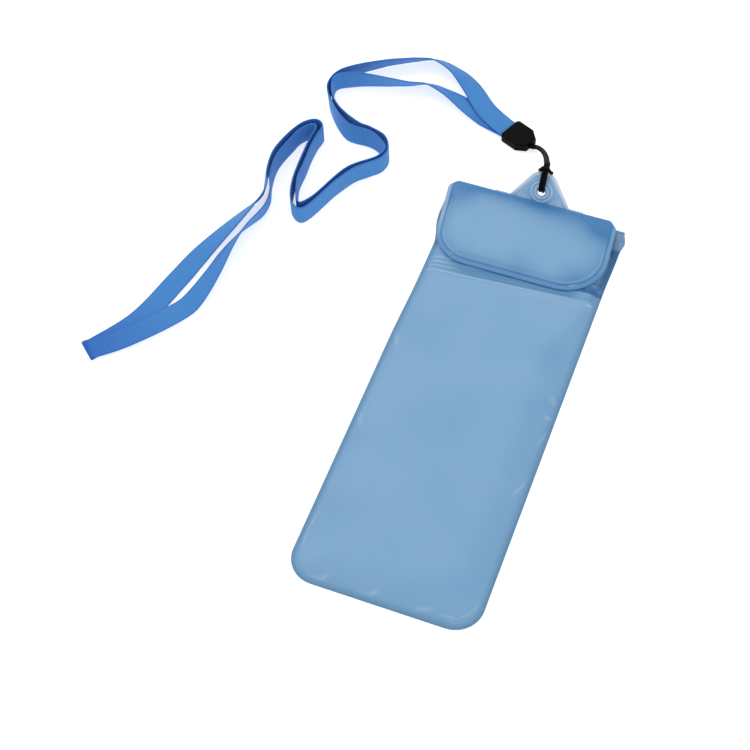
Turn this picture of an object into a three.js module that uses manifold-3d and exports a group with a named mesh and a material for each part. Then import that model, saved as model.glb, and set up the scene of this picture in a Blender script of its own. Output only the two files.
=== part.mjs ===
// A soft film pouch with a press-to-close zip, a fold-over flap, a hanging tab and a ribbon lanyard.
// Units are millimetres. X runs across the pouch, Y from its closed end to the hanging tab, Z is up.
// The pouch lies on its rear film, with the origin on the floor under the middle of its box.
import * as THREE from 'three';
import { mergeVertices } from 'three/addons/utils/BufferGeometryUtils.js';
import Module from 'manifold-3d';

const wasm = await Module();
wasm.setup();

// Films
const FILM = 0.4;
const WELD = 3;
const BODY_WIDTH = 100;
const BODY_CORNER = 15;
const BODY_GAP = 3.6;
const ZIP_GAP = 3;
const PUFF_REACH = 18;
const ZIP_PUFF_REACH = 6;
const MOUTH_LIP = 5;

// Neck, fold and flap, on the sheet that makes the rear of the body and the outside of the flap
const NECK_START = 214;
const NECK_FLARE_LEFT = 3.8;
const NECK_FLARE_RIGHT = 1.5;
const NECK_FLARE_LENGTH = 26;
const FOLD_LINE = 262.5;
const FOLD_ROUNDING = 6;
const FOLD_ROUNDING_REACH = 9;
const FLAP_SIDE_STEP = 0.5;
const FLAP_DROP = 54.5;
const FLAP_CORNER_LEFT = 18;
const FLAP_CORNER_RIGHT = 24;
const FLAP_PUFF = 2.2;
const FLAP_PUFF_REACH = 15;
const FLAP_SHIFT_AT_FOLD = -4.6;
const FLAP_SHIFT_AT_END = -0.3;
const FLAP_SLANT = 1;
const LINING_START = 4;

// Zip, pressed shut between the two films
const ZIP_CENTRE = 209;
const ZIP_WIDTH = 13;
const ZIP_SLANT = 3.9;
const ZIP_TRACK_PITCH = 7;
const ZIP_TAPE = 0.4;
const ZIP_END_CLEARANCE = 1;
const RIB_STEM = 0.6;
const RIB_HEAD = 1.4;
const RIB_HEAD_LENGTH = 0.85;
const ZIP_CLEARANCE = 0.2;
const JAW_WALL = 0.45;
const SEAM_RIDGE = 0.45;

// Hook and loop closure under the flap
const STRIP_LENGTH = 60;
const STRIP_WIDTH = 14;
const STRIP_THICKNESS = 0.7;
const STRIP_ABOVE_ZIP = 8.5;
const STRIP_CORNER = 2;

// Hanging tab
const TAB_TILT = THREE.MathUtils.degToRad(60);
const TAB_CENTRE = -2.1;
const TAB_THICKNESS = 0.8;
const TAB_FLANGE_HALF = 26;
const TAB_FLANGE = 2.3;
const TAB_BASE_HALF = 17.4;
const TAB_LENGTH = 20.2;
const TAB_TIP_RADIUS = 9.5;
const TAB_RIM = 2;
const TAB_RIM_HEIGHT = 0.35;
const TAB_HOLE = 4.4;
const TAB_HOLE_AT = 7.9;
const TAB_RING_OUTER = 13;
const TAB_RING_INNER = 8.4;
const TAB_RING_BEAD = 0.9;
const TAB_SEAT_GAP = 0.3;

// Lanyard
const RIBBON_WIDTH = 13;
const RIBBON_THICKNESS = 0.9;
const CORD = 1.7;
const CLAMP_LENGTH = 17.5;
const CLAMP_WIDTH = 16;
const CLAMP_NOSE_WIDTH = 8;
const CLAMP_NOSE_LENGTH = 5.5;
const CLAMP_HEIGHT = 5.4;
const CLAMP_EDGE = 0.8;
const CLAMP_SPLIT = 2.45;
const CLAMP_SEAM = 0.15;
const CLAMP_POCKET = 3.1;
const CLAMP_POCKET_DEPTH = 9;
const CLAMP_SIDE_CLEARANCE = 0.4;
const CLAMP_TEETH = 3;
const CLAMP_TOOTH = 0.2;
const CLAMP_BACK_X = -35.5;
const CLAMP_BACK_Y = 313.2;
const CLAMP_TURN = THREE.MathUtils.degToRad(-24);

const FOLD_INNER = (ZIP_GAP + FILM + 2 * STRIP_THICKNESS + FILM) / 2;
const LINING_TOP = FILM + 2 * FOLD_INNER;
const STRIP_CENTRE = ZIP_CENTRE + ZIP_WIDTH / 2 + STRIP_ABOVE_ZIP + STRIP_WIDTH / 2;
const MOUTH = STRIP_CENTRE + STRIP_WIDTH / 2 + MOUTH_LIP;
const FOLD_ARC = Math.PI * (FOLD_INNER + FILM / 2);
const FLAP_START = FOLD_LINE + FOLD_ARC;
const EAR_END = FOLD_LINE + 0.4 * FOLD_ARC;
const SHEET_LENGTH = FLAP_START + FLAP_DROP;
const FLAP_WIDTH = BODY_WIDTH - 2 * FLAP_SIDE_STEP;
const FLAP_CORNER = Math.max(FLAP_CORNER_LEFT, FLAP_CORNER_RIGHT);
const FRONT_TOP = FILM + ZIP_GAP + FILM;

const filmMaterial = () => new THREE.MeshStandardMaterial({ color: 0x7fa9d2, roughness: 0.35, metalness: 0 });
const zipMaterial = () => new THREE.MeshStandardMaterial({ color: 0xb4cfe6, roughness: 0.3, metalness: 0 });
const tabMaterial = () => new THREE.MeshStandardMaterial({ color: 0xa6c3de, roughness: 0.25, metalness: 0 });
const stripMaterial = () => new THREE.MeshStandardMaterial({ color: 0x5b83ad, roughness: 0.95, metalness: 0 });
const ribbonMaterial = () => new THREE.MeshStandardMaterial({ color: 0x3773bf, roughness: 0.8, metalness: 0 });
const blackMaterial = () => new THREE.MeshStandardMaterial({ color: 0x0c0c0e, roughness: 0.45, metalness: 0 });

const smooth = THREE.MathUtils.smoothstep;
const mix = THREE.MathUtils.lerp;

// Closed body between two grids of points with the same rows and columns; the outer grid faces out.
function shell(outer, inner) {
  const rows = outer.length;
  const columns = outer[0].length;
  const points = [...outer.flat(), ...inner.flat()];
  const half = rows * columns;
  const at = (row, column) => row * columns + column;
  const index = [];
  const quad = (a, b, c, d) => index.push(a, b, c, a, c, d);
  for (let row = 0; row < rows - 1; row++) {
    for (let column = 0; column < columns - 1; column++) {
      const corners = [at(row, column), at(row, column + 1), at(row + 1, column + 1), at(row + 1, column)];
      quad(...corners);
      quad(...corners.map((corner) => corner + half).reverse());
    }
  }
  const border = [];
  for (let column = 0; column < columns - 1; column++) border.push(at(0, column));
  for (let row = 0; row < rows - 1; row++) border.push(at(row, columns - 1));
  for (let column = columns - 1; column > 0; column--) border.push(at(rows - 1, column));
  for (let row = rows - 1; row > 0; row--) border.push(at(row, 0));
  border.forEach((here, i) => {
    const next = border[(i + 1) % border.length];
    quad(next, here, here + half, next + half);
  });
  const geometry = new THREE.BufferGeometry();
  geometry.setAttribute('position', new THREE.Float32BufferAttribute(points.flatMap((p) => p.toArray()), 3));
  geometry.setIndex(index);
  return geometry;
}

function toSolid(geometry) {
  const bare = geometry.clone();
  for (const name of Object.keys(bare.attributes)) if (name !== 'position') bare.deleteAttribute(name);
  const merged = mergeVertices(bare, 1e-4);
  return new wasm.Manifold(new wasm.Mesh({
    numProp: 3,
    vertProperties: new Float32Array(merged.attributes.position.array),
    triVerts: new Uint32Array(merged.index.array),
  }));
}

function toGeometry(solid) {
  const mesh = solid.getMesh();
  const geometry = new THREE.BufferGeometry();
  geometry.setAttribute('position', new THREE.BufferAttribute(new Float32Array(mesh.vertProperties), 3));
  geometry.setIndex(new THREE.BufferAttribute(new Uint32Array(mesh.triVerts), 1));
  return geometry;
}

function box(length, width, height, x, y, z) {
  return toSolid(new THREE.BoxGeometry(length, width, height).translate(x, y, z));
}

function extrudeUp(shape, depth, curveSegments = 10) {
  return new THREE.ExtrudeGeometry(shape, { depth, bevelEnabled: false, curveSegments });
}

// How far a rounded end draws a side in, at a distance from that end.
function cornerInset(fromEnd, radius) {
  const reach = Math.min(Math.max(fromEnd, 0), radius);
  return radius - Math.sqrt(radius ** 2 - (radius - reach) ** 2);
}

// Left and right edge of the long sheet at a length along it, before it is folded.
function sheetEdges(along) {
  const flare = smooth(along, NECK_START, NECK_START + NECK_FLARE_LENGTH);
  const inset = cornerInset(along, BODY_CORNER);
  const neck = [
    -BODY_WIDTH / 2 - NECK_FLARE_LEFT * flare + inset,
    BODY_WIDTH / 2 + NECK_FLARE_RIGHT * flare - inset,
  ];
  const middle = FOLD_LINE + FOLD_ARC / 2;
  const rounding = FOLD_ROUNDING * (1 - smooth(Math.abs(along - middle), 0, FOLD_ROUNDING_REACH));
  const down = Math.max(along - FLAP_START, 0) / FLAP_DROP;
  const centre = mix(FLAP_SHIFT_AT_FOLD, FLAP_SHIFT_AT_END, down);
  const fromEnd = SHEET_LENGTH - along;
  const flap = [
    centre - FLAP_WIDTH / 2 + cornerInset(fromEnd, FLAP_CORNER_LEFT),
    centre + FLAP_WIDTH / 2 - cornerInset(fromEnd, FLAP_CORNER_RIGHT),
  ];
  const left = along < middle ? neck[0] : flap[0];
  return [left + rounding, along < EAR_END ? neck[1] : flap[1] - rounding];
}

// Rows through a rounded end, closer together towards its tip.
function cornerRows(radius, count = 5) {
  return Array.from({ length: count + 1 }, (_, i) => radius * (1 - Math.cos((i / count) * Math.PI / 2)));
}

// Places across a sheet between its edges: a flat weld at each side and finer steps beside it.
function acrossRow([left, right]) {
  const steps = [0, WELD, WELD + 2, WELD + ZIP_PUFF_REACH, WELD + 11, WELD + PUFF_REACH];
  const middle = [-0.25, 0.25].map((share) => mix(left, right, 0.5 + share / 2));
  return [...steps.map((step) => left + step), ...middle, ...steps.map((step) => right - step).reverse()];
}

// Rise of a film that is welded at its rim and free inside it.
function puffShare(fromRim, reach) {
  const t = THREE.MathUtils.clamp((fromRim - WELD) / reach, 0, 1);
  return Math.sin(t * Math.PI / 2);
}

// Place on the folded sheet; side 0 is its inner face, which the fold closes over, and 1 its outer face.
function foldedPoint(along, x, side, rise = 0) {
  const lift = side * FILM;
  if (along <= FOLD_LINE) return new THREE.Vector3(x, along, FILM - lift);
  if (along <= FLAP_START) {
    const turn = ((along - FOLD_LINE) / FOLD_ARC) * Math.PI;
    const radius = FOLD_INNER + lift;
    return new THREE.Vector3(x, FOLD_LINE + radius * Math.sin(turn), FILM + FOLD_INNER - radius * Math.cos(turn));
  }
  const down = along - FLAP_START;
  const slant = FLAP_SLANT * (x / (FLAP_WIDTH / 2)) * (down / FLAP_DROP);
  return new THREE.Vector3(x, FOLD_LINE - down + slant, LINING_TOP + lift + rise);
}

function flapRise(along, x, [left, right]) {
  if (along <= FLAP_START) return 0;
  const fromRim = Math.min(x - left, right - x, SHEET_LENGTH - along, along - FLAP_START);
  return FLAP_PUFF * puffShare(fromRim, FLAP_PUFF_REACH);
}

function buildRearFilm() {
  const body = [35, 70, 105, 140, 175, 205, NECK_START, 220, 226, 232, 240, 248, 254];
  const fold = Array.from({ length: 11 }, (_, i) => FOLD_LINE + (FOLD_ARC * i) / 10);
  fold.splice(4, 1, EAR_END - 0.01, EAR_END + 0.2);
  const flap = [WELD, WELD + 1.4, 7, 11, 16, 22].map((step) => FLAP_START + step);
  const end = cornerRows(FLAP_CORNER, 6).map((step) => SHEET_LENGTH - step).reverse();
  const rows = [...cornerRows(BODY_CORNER), ...body, ...fold, ...flap, ...end];
  const face = (side) => rows.map((along) => {
    const edges = sheetEdges(along);
    return acrossRow(edges).map((x) => foldedPoint(along, x, side, flapRise(along, x, edges)));
  });
  return shell(face(1).map((row) => row.reverse()), face(0).map((row) => row.reverse()));
}

// Height of the front film's inner face; ridges show where the zip's two tracks are pressed together.
function frontInner(y, x, [left, right]) {
  const fromRim = Math.min(x - left, right - x, y);
  const nearZip = smooth(y, ZIP_CENTRE - 40, ZIP_CENTRE - ZIP_WIDTH / 2);
  const gap = mix(BODY_GAP, ZIP_GAP, nearZip);
  return FILM + gap * puffShare(fromRim, mix(PUFF_REACH, ZIP_PUFF_REACH, nearZip));
}

// The zip is welded in a little askew, so it climbs from left to right.
function zipSlant(x) {
  return (ZIP_SLANT * x) / (BODY_WIDTH / 2);
}

function zipRidgeRows() {
  const tracks = [-1, 1].map((side) => ZIP_CENTRE + (side * ZIP_TRACK_PITCH) / 2);
  const ridges = [...tracks, ZIP_CENTRE - ZIP_WIDTH / 2 + 0.8];
  return ridges.sort((a, b) => a - b);
}

function buildFrontFilm() {
  const ridges = zipRidgeRows();
  const half = JAW_WALL + RIB_HEAD / 2;
  const zipRows = ridges.flatMap((centre) => [centre - half, centre - half / 3, centre + half / 3, centre + half]);
  const zip = [...zipRows].sort((a, b) => a - b);
  const zipFoot = ZIP_CENTRE - ZIP_WIDTH / 2;
  const body = [0.1, 0.22, 0.38, 0.56, 0.74, 0.88, 0.95].map((share) => mix(BODY_CORNER, zipFoot, share));
  const mouth = [0.2, 0.45, 0.7, 1].map((share) => mix(ZIP_CENTRE + ZIP_WIDTH / 2, MOUTH, share));
  const rows = [...cornerRows(BODY_CORNER), ...body, ...zip, ...mouth];
  const grid = (lift) => rows.map((y) => {
    const edges = sheetEdges(y);
    return acrossRow(edges).map((x) => {
      const ridge = ridges.some((centre) => Math.abs(y - centre) < half / 2);
      const inside = puffShare(Math.min(x - edges[0], edges[1] - x), ZIP_PUFF_REACH);
      const raised = ridge && lift > 0 ? SEAM_RIDGE * inside : 0;
      const beside = 1 - smooth(Math.abs(y - ZIP_CENTRE), ZIP_WIDTH / 2 + 1, ZIP_WIDTH + 8);
      return new THREE.Vector3(x, y + zipSlant(x) * beside, frontInner(y, x, edges) + lift + raised);
    });
  });
  return shell(grid(FILM), grid(0));
}

function buildFlapLining() {
  const start = FLAP_START + LINING_START;
  const straight = [start, start + 8, start + 16, start + 23];
  const end = cornerRows(FLAP_CORNER, 6).map((step) => SHEET_LENGTH - step).reverse();
  const rows = [...straight, ...end];
  const face = (drop) => rows.map((along) => {
    const [left, right] = sheetEdges(along);
    return [left, mix(left, right, 0.5), right].map((x) => {
      const point = foldedPoint(along, x, 0);
      return point.setZ(LINING_TOP - drop);
    });
  });
  return shell(face(0).map((row) => row.reverse()), face(FILM).map((row) => row.reverse()));
}

// Zip profiles lie in the Y and Z plane and run across the pouch.
function acrossPouch(shape, length) {
  const turn = new THREE.Matrix4().makeBasis(
    new THREE.Vector3(0, 1, 0),
    new THREE.Vector3(0, 0, 1),
    new THREE.Vector3(1, 0, 0),
  );
  const slant = new THREE.Matrix4().makeShear(2 * ZIP_SLANT / BODY_WIDTH, 0, 0, 0, 0, 0);
  return extrudeUp(shape, length).applyMatrix4(turn).translate(-length / 2, 0, 0).applyMatrix4(slant);
}

const zipTracks = [-1, 1].map((side) => ZIP_CENTRE + (side * ZIP_TRACK_PITCH) / 2);
const zipLength = BODY_WIDTH - 2 * (WELD + ZIP_PUFF_REACH + ZIP_END_CLEARANCE);
const zipFoot = FILM + ZIP_TAPE;
const zipCeiling = FILM + ZIP_GAP - ZIP_TAPE;

function buildRibStrip() {
  const shape = new THREE.Shape();
  const headBase = zipCeiling - ZIP_CLEARANCE - RIB_HEAD_LENGTH;
  shape.moveTo(ZIP_CENTRE - ZIP_WIDTH / 2, FILM);
  shape.lineTo(ZIP_CENTRE + ZIP_WIDTH / 2, FILM);
  shape.lineTo(ZIP_CENTRE + ZIP_WIDTH / 2, zipFoot);
  for (const track of [...zipTracks].reverse()) {
    shape.lineTo(track + RIB_STEM / 2, zipFoot);
    shape.lineTo(track + RIB_STEM / 2, headBase);
    shape.lineTo(track + RIB_HEAD / 2, headBase);
    shape.lineTo(track + RIB_STEM / 4, headBase + RIB_HEAD_LENGTH);
    shape.lineTo(track - RIB_STEM / 4, headBase + RIB_HEAD_LENGTH);
    shape.lineTo(track - RIB_HEAD / 2, headBase);
    shape.lineTo(track - RIB_STEM / 2, headBase);
    shape.lineTo(track - RIB_STEM / 2, zipFoot);
  }
  shape.lineTo(ZIP_CENTRE - ZIP_WIDTH / 2, zipFoot);
  return acrossPouch(shape, zipLength);
}

function buildGrooveStrip() {
  const shape = new THREE.Shape();
  const inner = RIB_HEAD / 2 + ZIP_CLEARANCE;
  const outer = inner + JAW_WALL;
  const lip = RIB_STEM / 2 + ZIP_CLEARANCE;
  const lipTop = zipCeiling - RIB_HEAD_LENGTH - 2 * ZIP_CLEARANCE;
  const lipFoot = zipFoot + ZIP_CLEARANCE;
  shape.moveTo(ZIP_CENTRE + ZIP_WIDTH / 2, FILM + ZIP_GAP);
  shape.lineTo(ZIP_CENTRE - ZIP_WIDTH / 2, FILM + ZIP_GAP);
  shape.lineTo(ZIP_CENTRE - ZIP_WIDTH / 2, zipCeiling);
  for (const track of zipTracks) {
    shape.lineTo(track - outer, zipCeiling);
    shape.lineTo(track - outer, lipFoot);
    shape.lineTo(track - lip, lipFoot);
    shape.lineTo(track - lip, lipTop);
    shape.lineTo(track - inner, lipTop);
    shape.lineTo(track - inner, zipCeiling);
    shape.lineTo(track + inner, zipCeiling);
    shape.lineTo(track + inner, lipTop);
    shape.lineTo(track + lip, lipTop);
    shape.lineTo(track + lip, lipFoot);
    shape.lineTo(track + outer, lipFoot);
    shape.lineTo(track + outer, zipCeiling);
  }
  shape.lineTo(ZIP_CENTRE + ZIP_WIDTH / 2, zipCeiling);
  return acrossPouch(shape, zipLength);
}

function roundedRectangle(length, width, radius) {
  const shape = new THREE.Shape();
  const x = length / 2;
  const y = width / 2;
  shape.moveTo(-x + radius, -y);
  shape.lineTo(x - radius, -y);
  shape.absarc(x - radius, -y + radius, radius, -Math.PI / 2, 0, false);
  shape.absarc(x - radius, y - radius, radius, 0, Math.PI / 2, false);
  shape.absarc(-x + radius, y - radius, radius, Math.PI / 2, Math.PI, false);
  shape.absarc(-x + radius, -y + radius, radius, Math.PI, 1.5 * Math.PI, false);
  return shape;
}

function buildClosureStrip(bottom) {
  const shape = roundedRectangle(STRIP_LENGTH, STRIP_WIDTH, STRIP_CORNER);
  return extrudeUp(shape, STRIP_THICKNESS, 4).translate(0, STRIP_CENTRE, bottom);
}

// Outline of the tab in its own plane; inset draws it in evenly from the free edges.
function tabOutline(inset = 0) {
  const tip = TAB_LENGTH - TAB_TIP_RADIUS;
  const radius = TAB_TIP_RADIUS - inset;
  const base = TAB_BASE_HALF - inset;
  const fall = tip - TAB_FLANGE;
  const turn = Math.acos(radius / Math.hypot(base, fall)) - Math.atan2(fall, base);
  const shape = new THREE.Shape();
  shape.moveTo(-base, 0);
  shape.lineTo(base, 0);
  shape.lineTo(base, TAB_FLANGE);
  shape.absarc(0, tip, radius, turn, Math.PI - turn, false);
  shape.lineTo(-base, TAB_FLANGE);
  return shape;
}

function disc(radius, height, y, z, segments = 28) {
  return toSolid(new THREE.CylinderGeometry(radius, radius, height, segments).rotateX(Math.PI / 2).translate(0, y, z));
}

function ring(outer, inner, height, y, z) {
  return disc(outer, height, y, z).subtract(disc(inner, height + 1, y, z));
}

function buildTab() {
  const plate = toSolid(extrudeUp(tabOutline(), TAB_THICKNESS).translate(0, 0, -TAB_THICKNESS / 2));
  const flange = box(2 * TAB_FLANGE_HALF, TAB_FLANGE, TAB_THICKNESS, 0, TAB_FLANGE / 2, 0);
  const rimHeight = TAB_THICKNESS + 2 * TAB_RIM_HEIGHT;
  const rim = toSolid(extrudeUp(tabOutline(), rimHeight).translate(0, 0, -rimHeight / 2))
    .subtract(toSolid(extrudeUp(tabOutline(TAB_RIM), rimHeight + 1).translate(0, 0, -rimHeight / 2 - 0.5)))
    .subtract(box(TAB_FLANGE_HALF * 2, TAB_FLANGE * 2, rimHeight + 1, 0, 0, 0));
  const outerBead = ring(TAB_RING_OUTER / 2, TAB_RING_OUTER / 2 - TAB_RING_BEAD, rimHeight, TAB_HOLE_AT, 0);
  const innerBead = ring(TAB_RING_INNER / 2, TAB_RING_INNER / 2 - TAB_RING_BEAD, rimHeight, TAB_HOLE_AT, 0);
  const hole = disc(TAB_HOLE / 2, rimHeight + 1, TAB_HOLE_AT, 0, 20);
  return toGeometry(plate.add(flange).add(rim).add(outerBead).add(innerBead).subtract(hole));
}

// The tab leaves the fold's outer face along a tangent, tilted up by its own stiffness.
const tabRadius = FOLD_INNER + FILM + TAB_SEAT_GAP + TAB_THICKNESS / 2;
const tabGroup = new THREE.Group();
tabGroup.position.set(
  TAB_CENTRE,
  FOLD_LINE + tabRadius * Math.sin(TAB_TILT),
  FILM + FOLD_INNER - tabRadius * Math.cos(TAB_TILT),
);
tabGroup.rotation.x = TAB_TILT;

// A path whose points and section directions are given, for a cord or a ribbon laid by hand.
class LaidPath extends THREE.Curve {
  constructor(points, sides) {
    super();
    this.points = points;
    this.sides = sides;
  }

  getSpacedPoints() {
    return this.points;
  }

  computeFrenetFrames() {
    const last = this.points.length - 1;
    const tangents = this.points.map((_, i) => {
      const before = this.points[Math.max(i - 1, 0)];
      const after = this.points[Math.min(i + 1, last)];
      return after.clone().sub(before).normalize();
    });
    const normals = this.sides.map((side, i) => {
      return side.clone().addScaledVector(tangents[i], -side.dot(tangents[i])).normalize();
    });
    const binormals = normals.map((normal, i) => tangents[i].clone().cross(normal));
    return { tangents, normals, binormals };
  }
}

function sweep(section, path) {
  const steps = path.points.length - 1;
  return new THREE.ExtrudeGeometry(section, { steps, extrudePath: path, curveSegments: 4 });
}

// Lanyard route: x, y, lean of the ribbon from flat in degrees, lift of its lower edge off the floor.
const STRAND_OVER = [
  [-28.2, 309.9, 0, 2.6], [-32.8, 312, 0, 2.6], [-37.3, 314, 0, 2.6], [-47, 320, 0, 1.7], [-54, 325, 3, 1.5],
  [-68.5, 339.5, 16, 0.3],
  [-80.5, 347, 36, 0.2], [-94, 350.5, 45, 0.2], [-105.5, 346, 55, 0.2], [-114, 341.5, 59, 0.2],
  [-121.5, 337, 63, 0.2], [-143, 318, 80, 0.2], [-147, 303.5, 98, 0.2], [-137, 289, 88, 0.2],
  [-123, 277.5, 80, 0.2], [-117, 276.5, 80, 0.2], [-110, 276.5, 82, 0.2], [-103.5, 274.5, 86, 0.2],
  [-96.5, 268, 90, 0.2], [-98, 261, 90, 0.2], [-111, 247, 90, 0.2], [-122.5, 219, 90, 0.2],
  [-127, 213.5, 90, 0.2], [-129, 214.5, 90, 0.2], [-133, 223, 90, 0.2], [-135.5, 231.5, 90, 0.2],
  [-136, 242, 90, 0.2], [-137, 254, 90, 0.2], [-137, 263, 90, 0.2], [-136.5, 272, 90, 0.2],
  [-141, 275, 90, 0.2], [-148, 270.5, 90, 0.2], [-156, 246.5, 90, 0.2], [-154.5, 228.5, 82, 0.2],
  [-152, 221, 74, 0.2], [-152.5, 213.5, 64, 0.2], [-155, 207, 54, 0.2], [-169, 168.5, 10, 0.2],
  [-174, 149.5, 2, 0.2], [-184.5, 119.5, 0, 0.2], [-200, 88, 0, 0.2],
];
const STRAND_UNDER = [
  [-28.2, 309.9, 0, 1.4], [-32.8, 312, 0, 1.4], [-37.3, 314, 0, 1.4], [-51.5, 318.5, 2, 0.2], [-63.5, 323, 12, 0.2], [-78.5, 328, 35, 0.2],
  [-91.5, 330, 46, 0.2], [-102, 326, 56, 0.2], [-113.5, 323, 67, 0.2], [-135, 317.5, 90, 0.2],
  [-144, 311.5, 92, 0.2], [-142, 301, 94, 0.2], [-134, 290, 90, 0.2], [-117, 281, 90, 0.2],
  [-110, 280, 90, 0.2], [-99, 276, 90, 0.2], [-93.5, 267.5, 90, 0.2], [-94.5, 260, 90, 0.2],
  [-101, 254, 90, 0.2], [-107, 248, 90, 0.2], [-113.5, 236, 90, 0.2], [-125, 209.5, 90, 0.2],
  [-131, 212, 90, 0.2], [-136.5, 224.5, 90, 0.2], [-139.5, 254.5, 90, 0.2], [-139.5, 263, 90, 0.2],
  [-140, 270.5, 90, 0.2], [-142.5, 271, 90, 0.2], [-148, 264.5, 90, 0.2], [-150, 257.5, 90, 0.2],
  [-153, 241.5, 90, 0.2], [-151, 227.5, 88, 0.2], [-147, 216, 74, 0.2], [-147, 206, 62, 0.2],
  [-154, 189, 40, 0.2], [-156.5, 175, 32, 0.2], [-157.5, 157.5, 22, 0.2], [-159, 143, 12, 0.2],
  [-161.5, 134, 4, 0.2], [-166.5, 124.5, 1, 1.4], [-186, 100.5, 0, 1.5], [-200, 88, 0, 1.5],
];
const CREASE_HEADING = new THREE.Vector3(-0.645, -0.764, 0).normalize();
const up = new THREE.Vector3(0, 0, 1);

function ribbonHeight(lean, lift) {
  return (RIBBON_WIDTH * Math.abs(Math.sin(lean)) + RIBBON_THICKNESS * Math.abs(Math.cos(lean))) / 2 + lift;
}

// Points along one strand with the direction of the ribbon's width at each.
function layStrand(route) {
  const stations = route.map(([x, y]) => new THREE.Vector3(x, y, 0));
  const curve = new THREE.CatmullRomCurve3(stations, false, 'centripetal');
  const steps = 2 * (route.length - 1);
  const points = [];
  const sides = [];
  for (let i = 0; i <= steps; i++) {
    const t = i / steps;
    const heading = i === steps ? CREASE_HEADING : curve.getTangent(t);
    const left = up.clone().cross(heading).normalize();
    const place = Math.min(Math.floor(i / 2), route.length - 2);
    const blend = (column) => mix(route[place][column], route[place + 1][column], i / 2 - place);
    const lean = THREE.MathUtils.degToRad(blend(2));
    points.push(curve.getPoint(t).setZ(ribbonHeight(lean, blend(3))));
    sides.push(left.multiplyScalar(Math.cos(lean)).addScaledVector(up, Math.sin(lean)));
  }
  return { points, sides };
}

// One ribbon: out along the upper strand, round the crease and back along the lower one.
function buildRibbon() {
  const out = layStrand(STRAND_OVER);
  const back = layStrand(STRAND_UNDER);
  const foot = out.points.at(-1);
  const head = back.points.at(-1);
  const radius = (head.z - foot.z) / 2;
  const crease = [30, 90, 150].map((degrees) => {
    const turn = THREE.MathUtils.degToRad(degrees);
    const point = foot.clone().addScaledVector(CREASE_HEADING, radius * Math.sin(turn));
    return point.setZ(foot.z + radius * (1 - Math.cos(turn)));
  });
  const points = [...out.points, ...crease, ...back.points.reverse()];
  const sides = [...out.sides, ...crease.map(() => out.sides.at(-1)), ...back.sides.reverse()];
  const section = new THREE.Shape();
  section.moveTo(-RIBBON_WIDTH / 2, -RIBBON_THICKNESS / 2);
  section.lineTo(RIBBON_WIDTH / 2, -RIBBON_THICKNESS / 2);
  section.lineTo(RIBBON_WIDTH / 2, RIBBON_THICKNESS / 2);
  section.lineTo(-RIBBON_WIDTH / 2, RIBBON_THICKNESS / 2);
  return sweep(section, new LaidPath(points, sides));
}

// Clamp in its own frame: x from the ribbon side to the nose, z up from the floor.
function clampBlock() {
  const half = CLAMP_WIDTH / 2;
  const nose = CLAMP_NOSE_WIDTH / 2;
  const shoulder = CLAMP_LENGTH - CLAMP_NOSE_LENGTH;
  const shape = new THREE.Shape();
  shape.moveTo(0, -half + 1.5);
  shape.lineTo(1.5, -half);
  shape.lineTo(shoulder, -half);
  shape.lineTo(CLAMP_LENGTH, -nose);
  shape.lineTo(CLAMP_LENGTH, nose);
  shape.lineTo(shoulder, half);
  shape.lineTo(1.5, half);
  shape.lineTo(0, half - 1.5);
  const bevel = { bevelThickness: CLAMP_EDGE, bevelSize: CLAMP_EDGE, bevelOffset: -CLAMP_EDGE, bevelSegments: 2 };
  const geometry = new THREE.ExtrudeGeometry(shape, { depth: CLAMP_HEIGHT - 2 * CLAMP_EDGE, ...bevel });
  return toSolid(geometry.translate(0, 0, CLAMP_EDGE));
}

function clampCavity() {
  const width = RIBBON_WIDTH + 2 * CLAMP_SIDE_CLEARANCE;
  const pocket = box(
    CLAMP_POCKET_DEPTH + 2, width, CLAMP_POCKET, CLAMP_POCKET_DEPTH / 2 - 1, 0, CLAMP_SPLIT,
  );
  const channel = box(CLAMP_LENGTH, 2 * CORD + 1.2, CORD + 0.8, CLAMP_LENGTH, 0, CLAMP_SPLIT);
  return pocket.add(channel);
}

function clampTeeth(side) {
  const teeth = new THREE.Shape();
  const wall = CLAMP_SPLIT + (side * CLAMP_POCKET) / 2;
  teeth.moveTo(-CLAMP_TOOTH, wall + side * 0.1);
  teeth.lineTo(CLAMP_TOOTH, wall + side * 0.1);
  teeth.lineTo(0, wall - side * CLAMP_TOOTH);
  const turn = new THREE.Matrix4().makeBasis(
    new THREE.Vector3(1, 0, 0),
    new THREE.Vector3(0, 0, 1),
    new THREE.Vector3(0, -1, 0),
  );
  return Array.from({ length: CLAMP_TEETH }, (_, i) => {
    const geometry = extrudeUp(teeth, RIBBON_WIDTH - 2);
    return toSolid(geometry.applyMatrix4(turn).translate(2.5 + 2.2 * i, RIBBON_WIDTH / 2 - 1, 0));
  });
}

function buildClampHalf(side) {
  const height = CLAMP_HEIGHT;
  const away = CLAMP_SPLIT - side * (height / 2 - CLAMP_SEAM);
  const cut = box(3 * CLAMP_LENGTH, 2 * CLAMP_WIDTH, height, 0, 0, away);
  const half = clampBlock().subtract(cut).subtract(clampCavity());
  return toGeometry(clampTeeth(side).reduce((solid, tooth) => solid.add(tooth), half));
}

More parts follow.
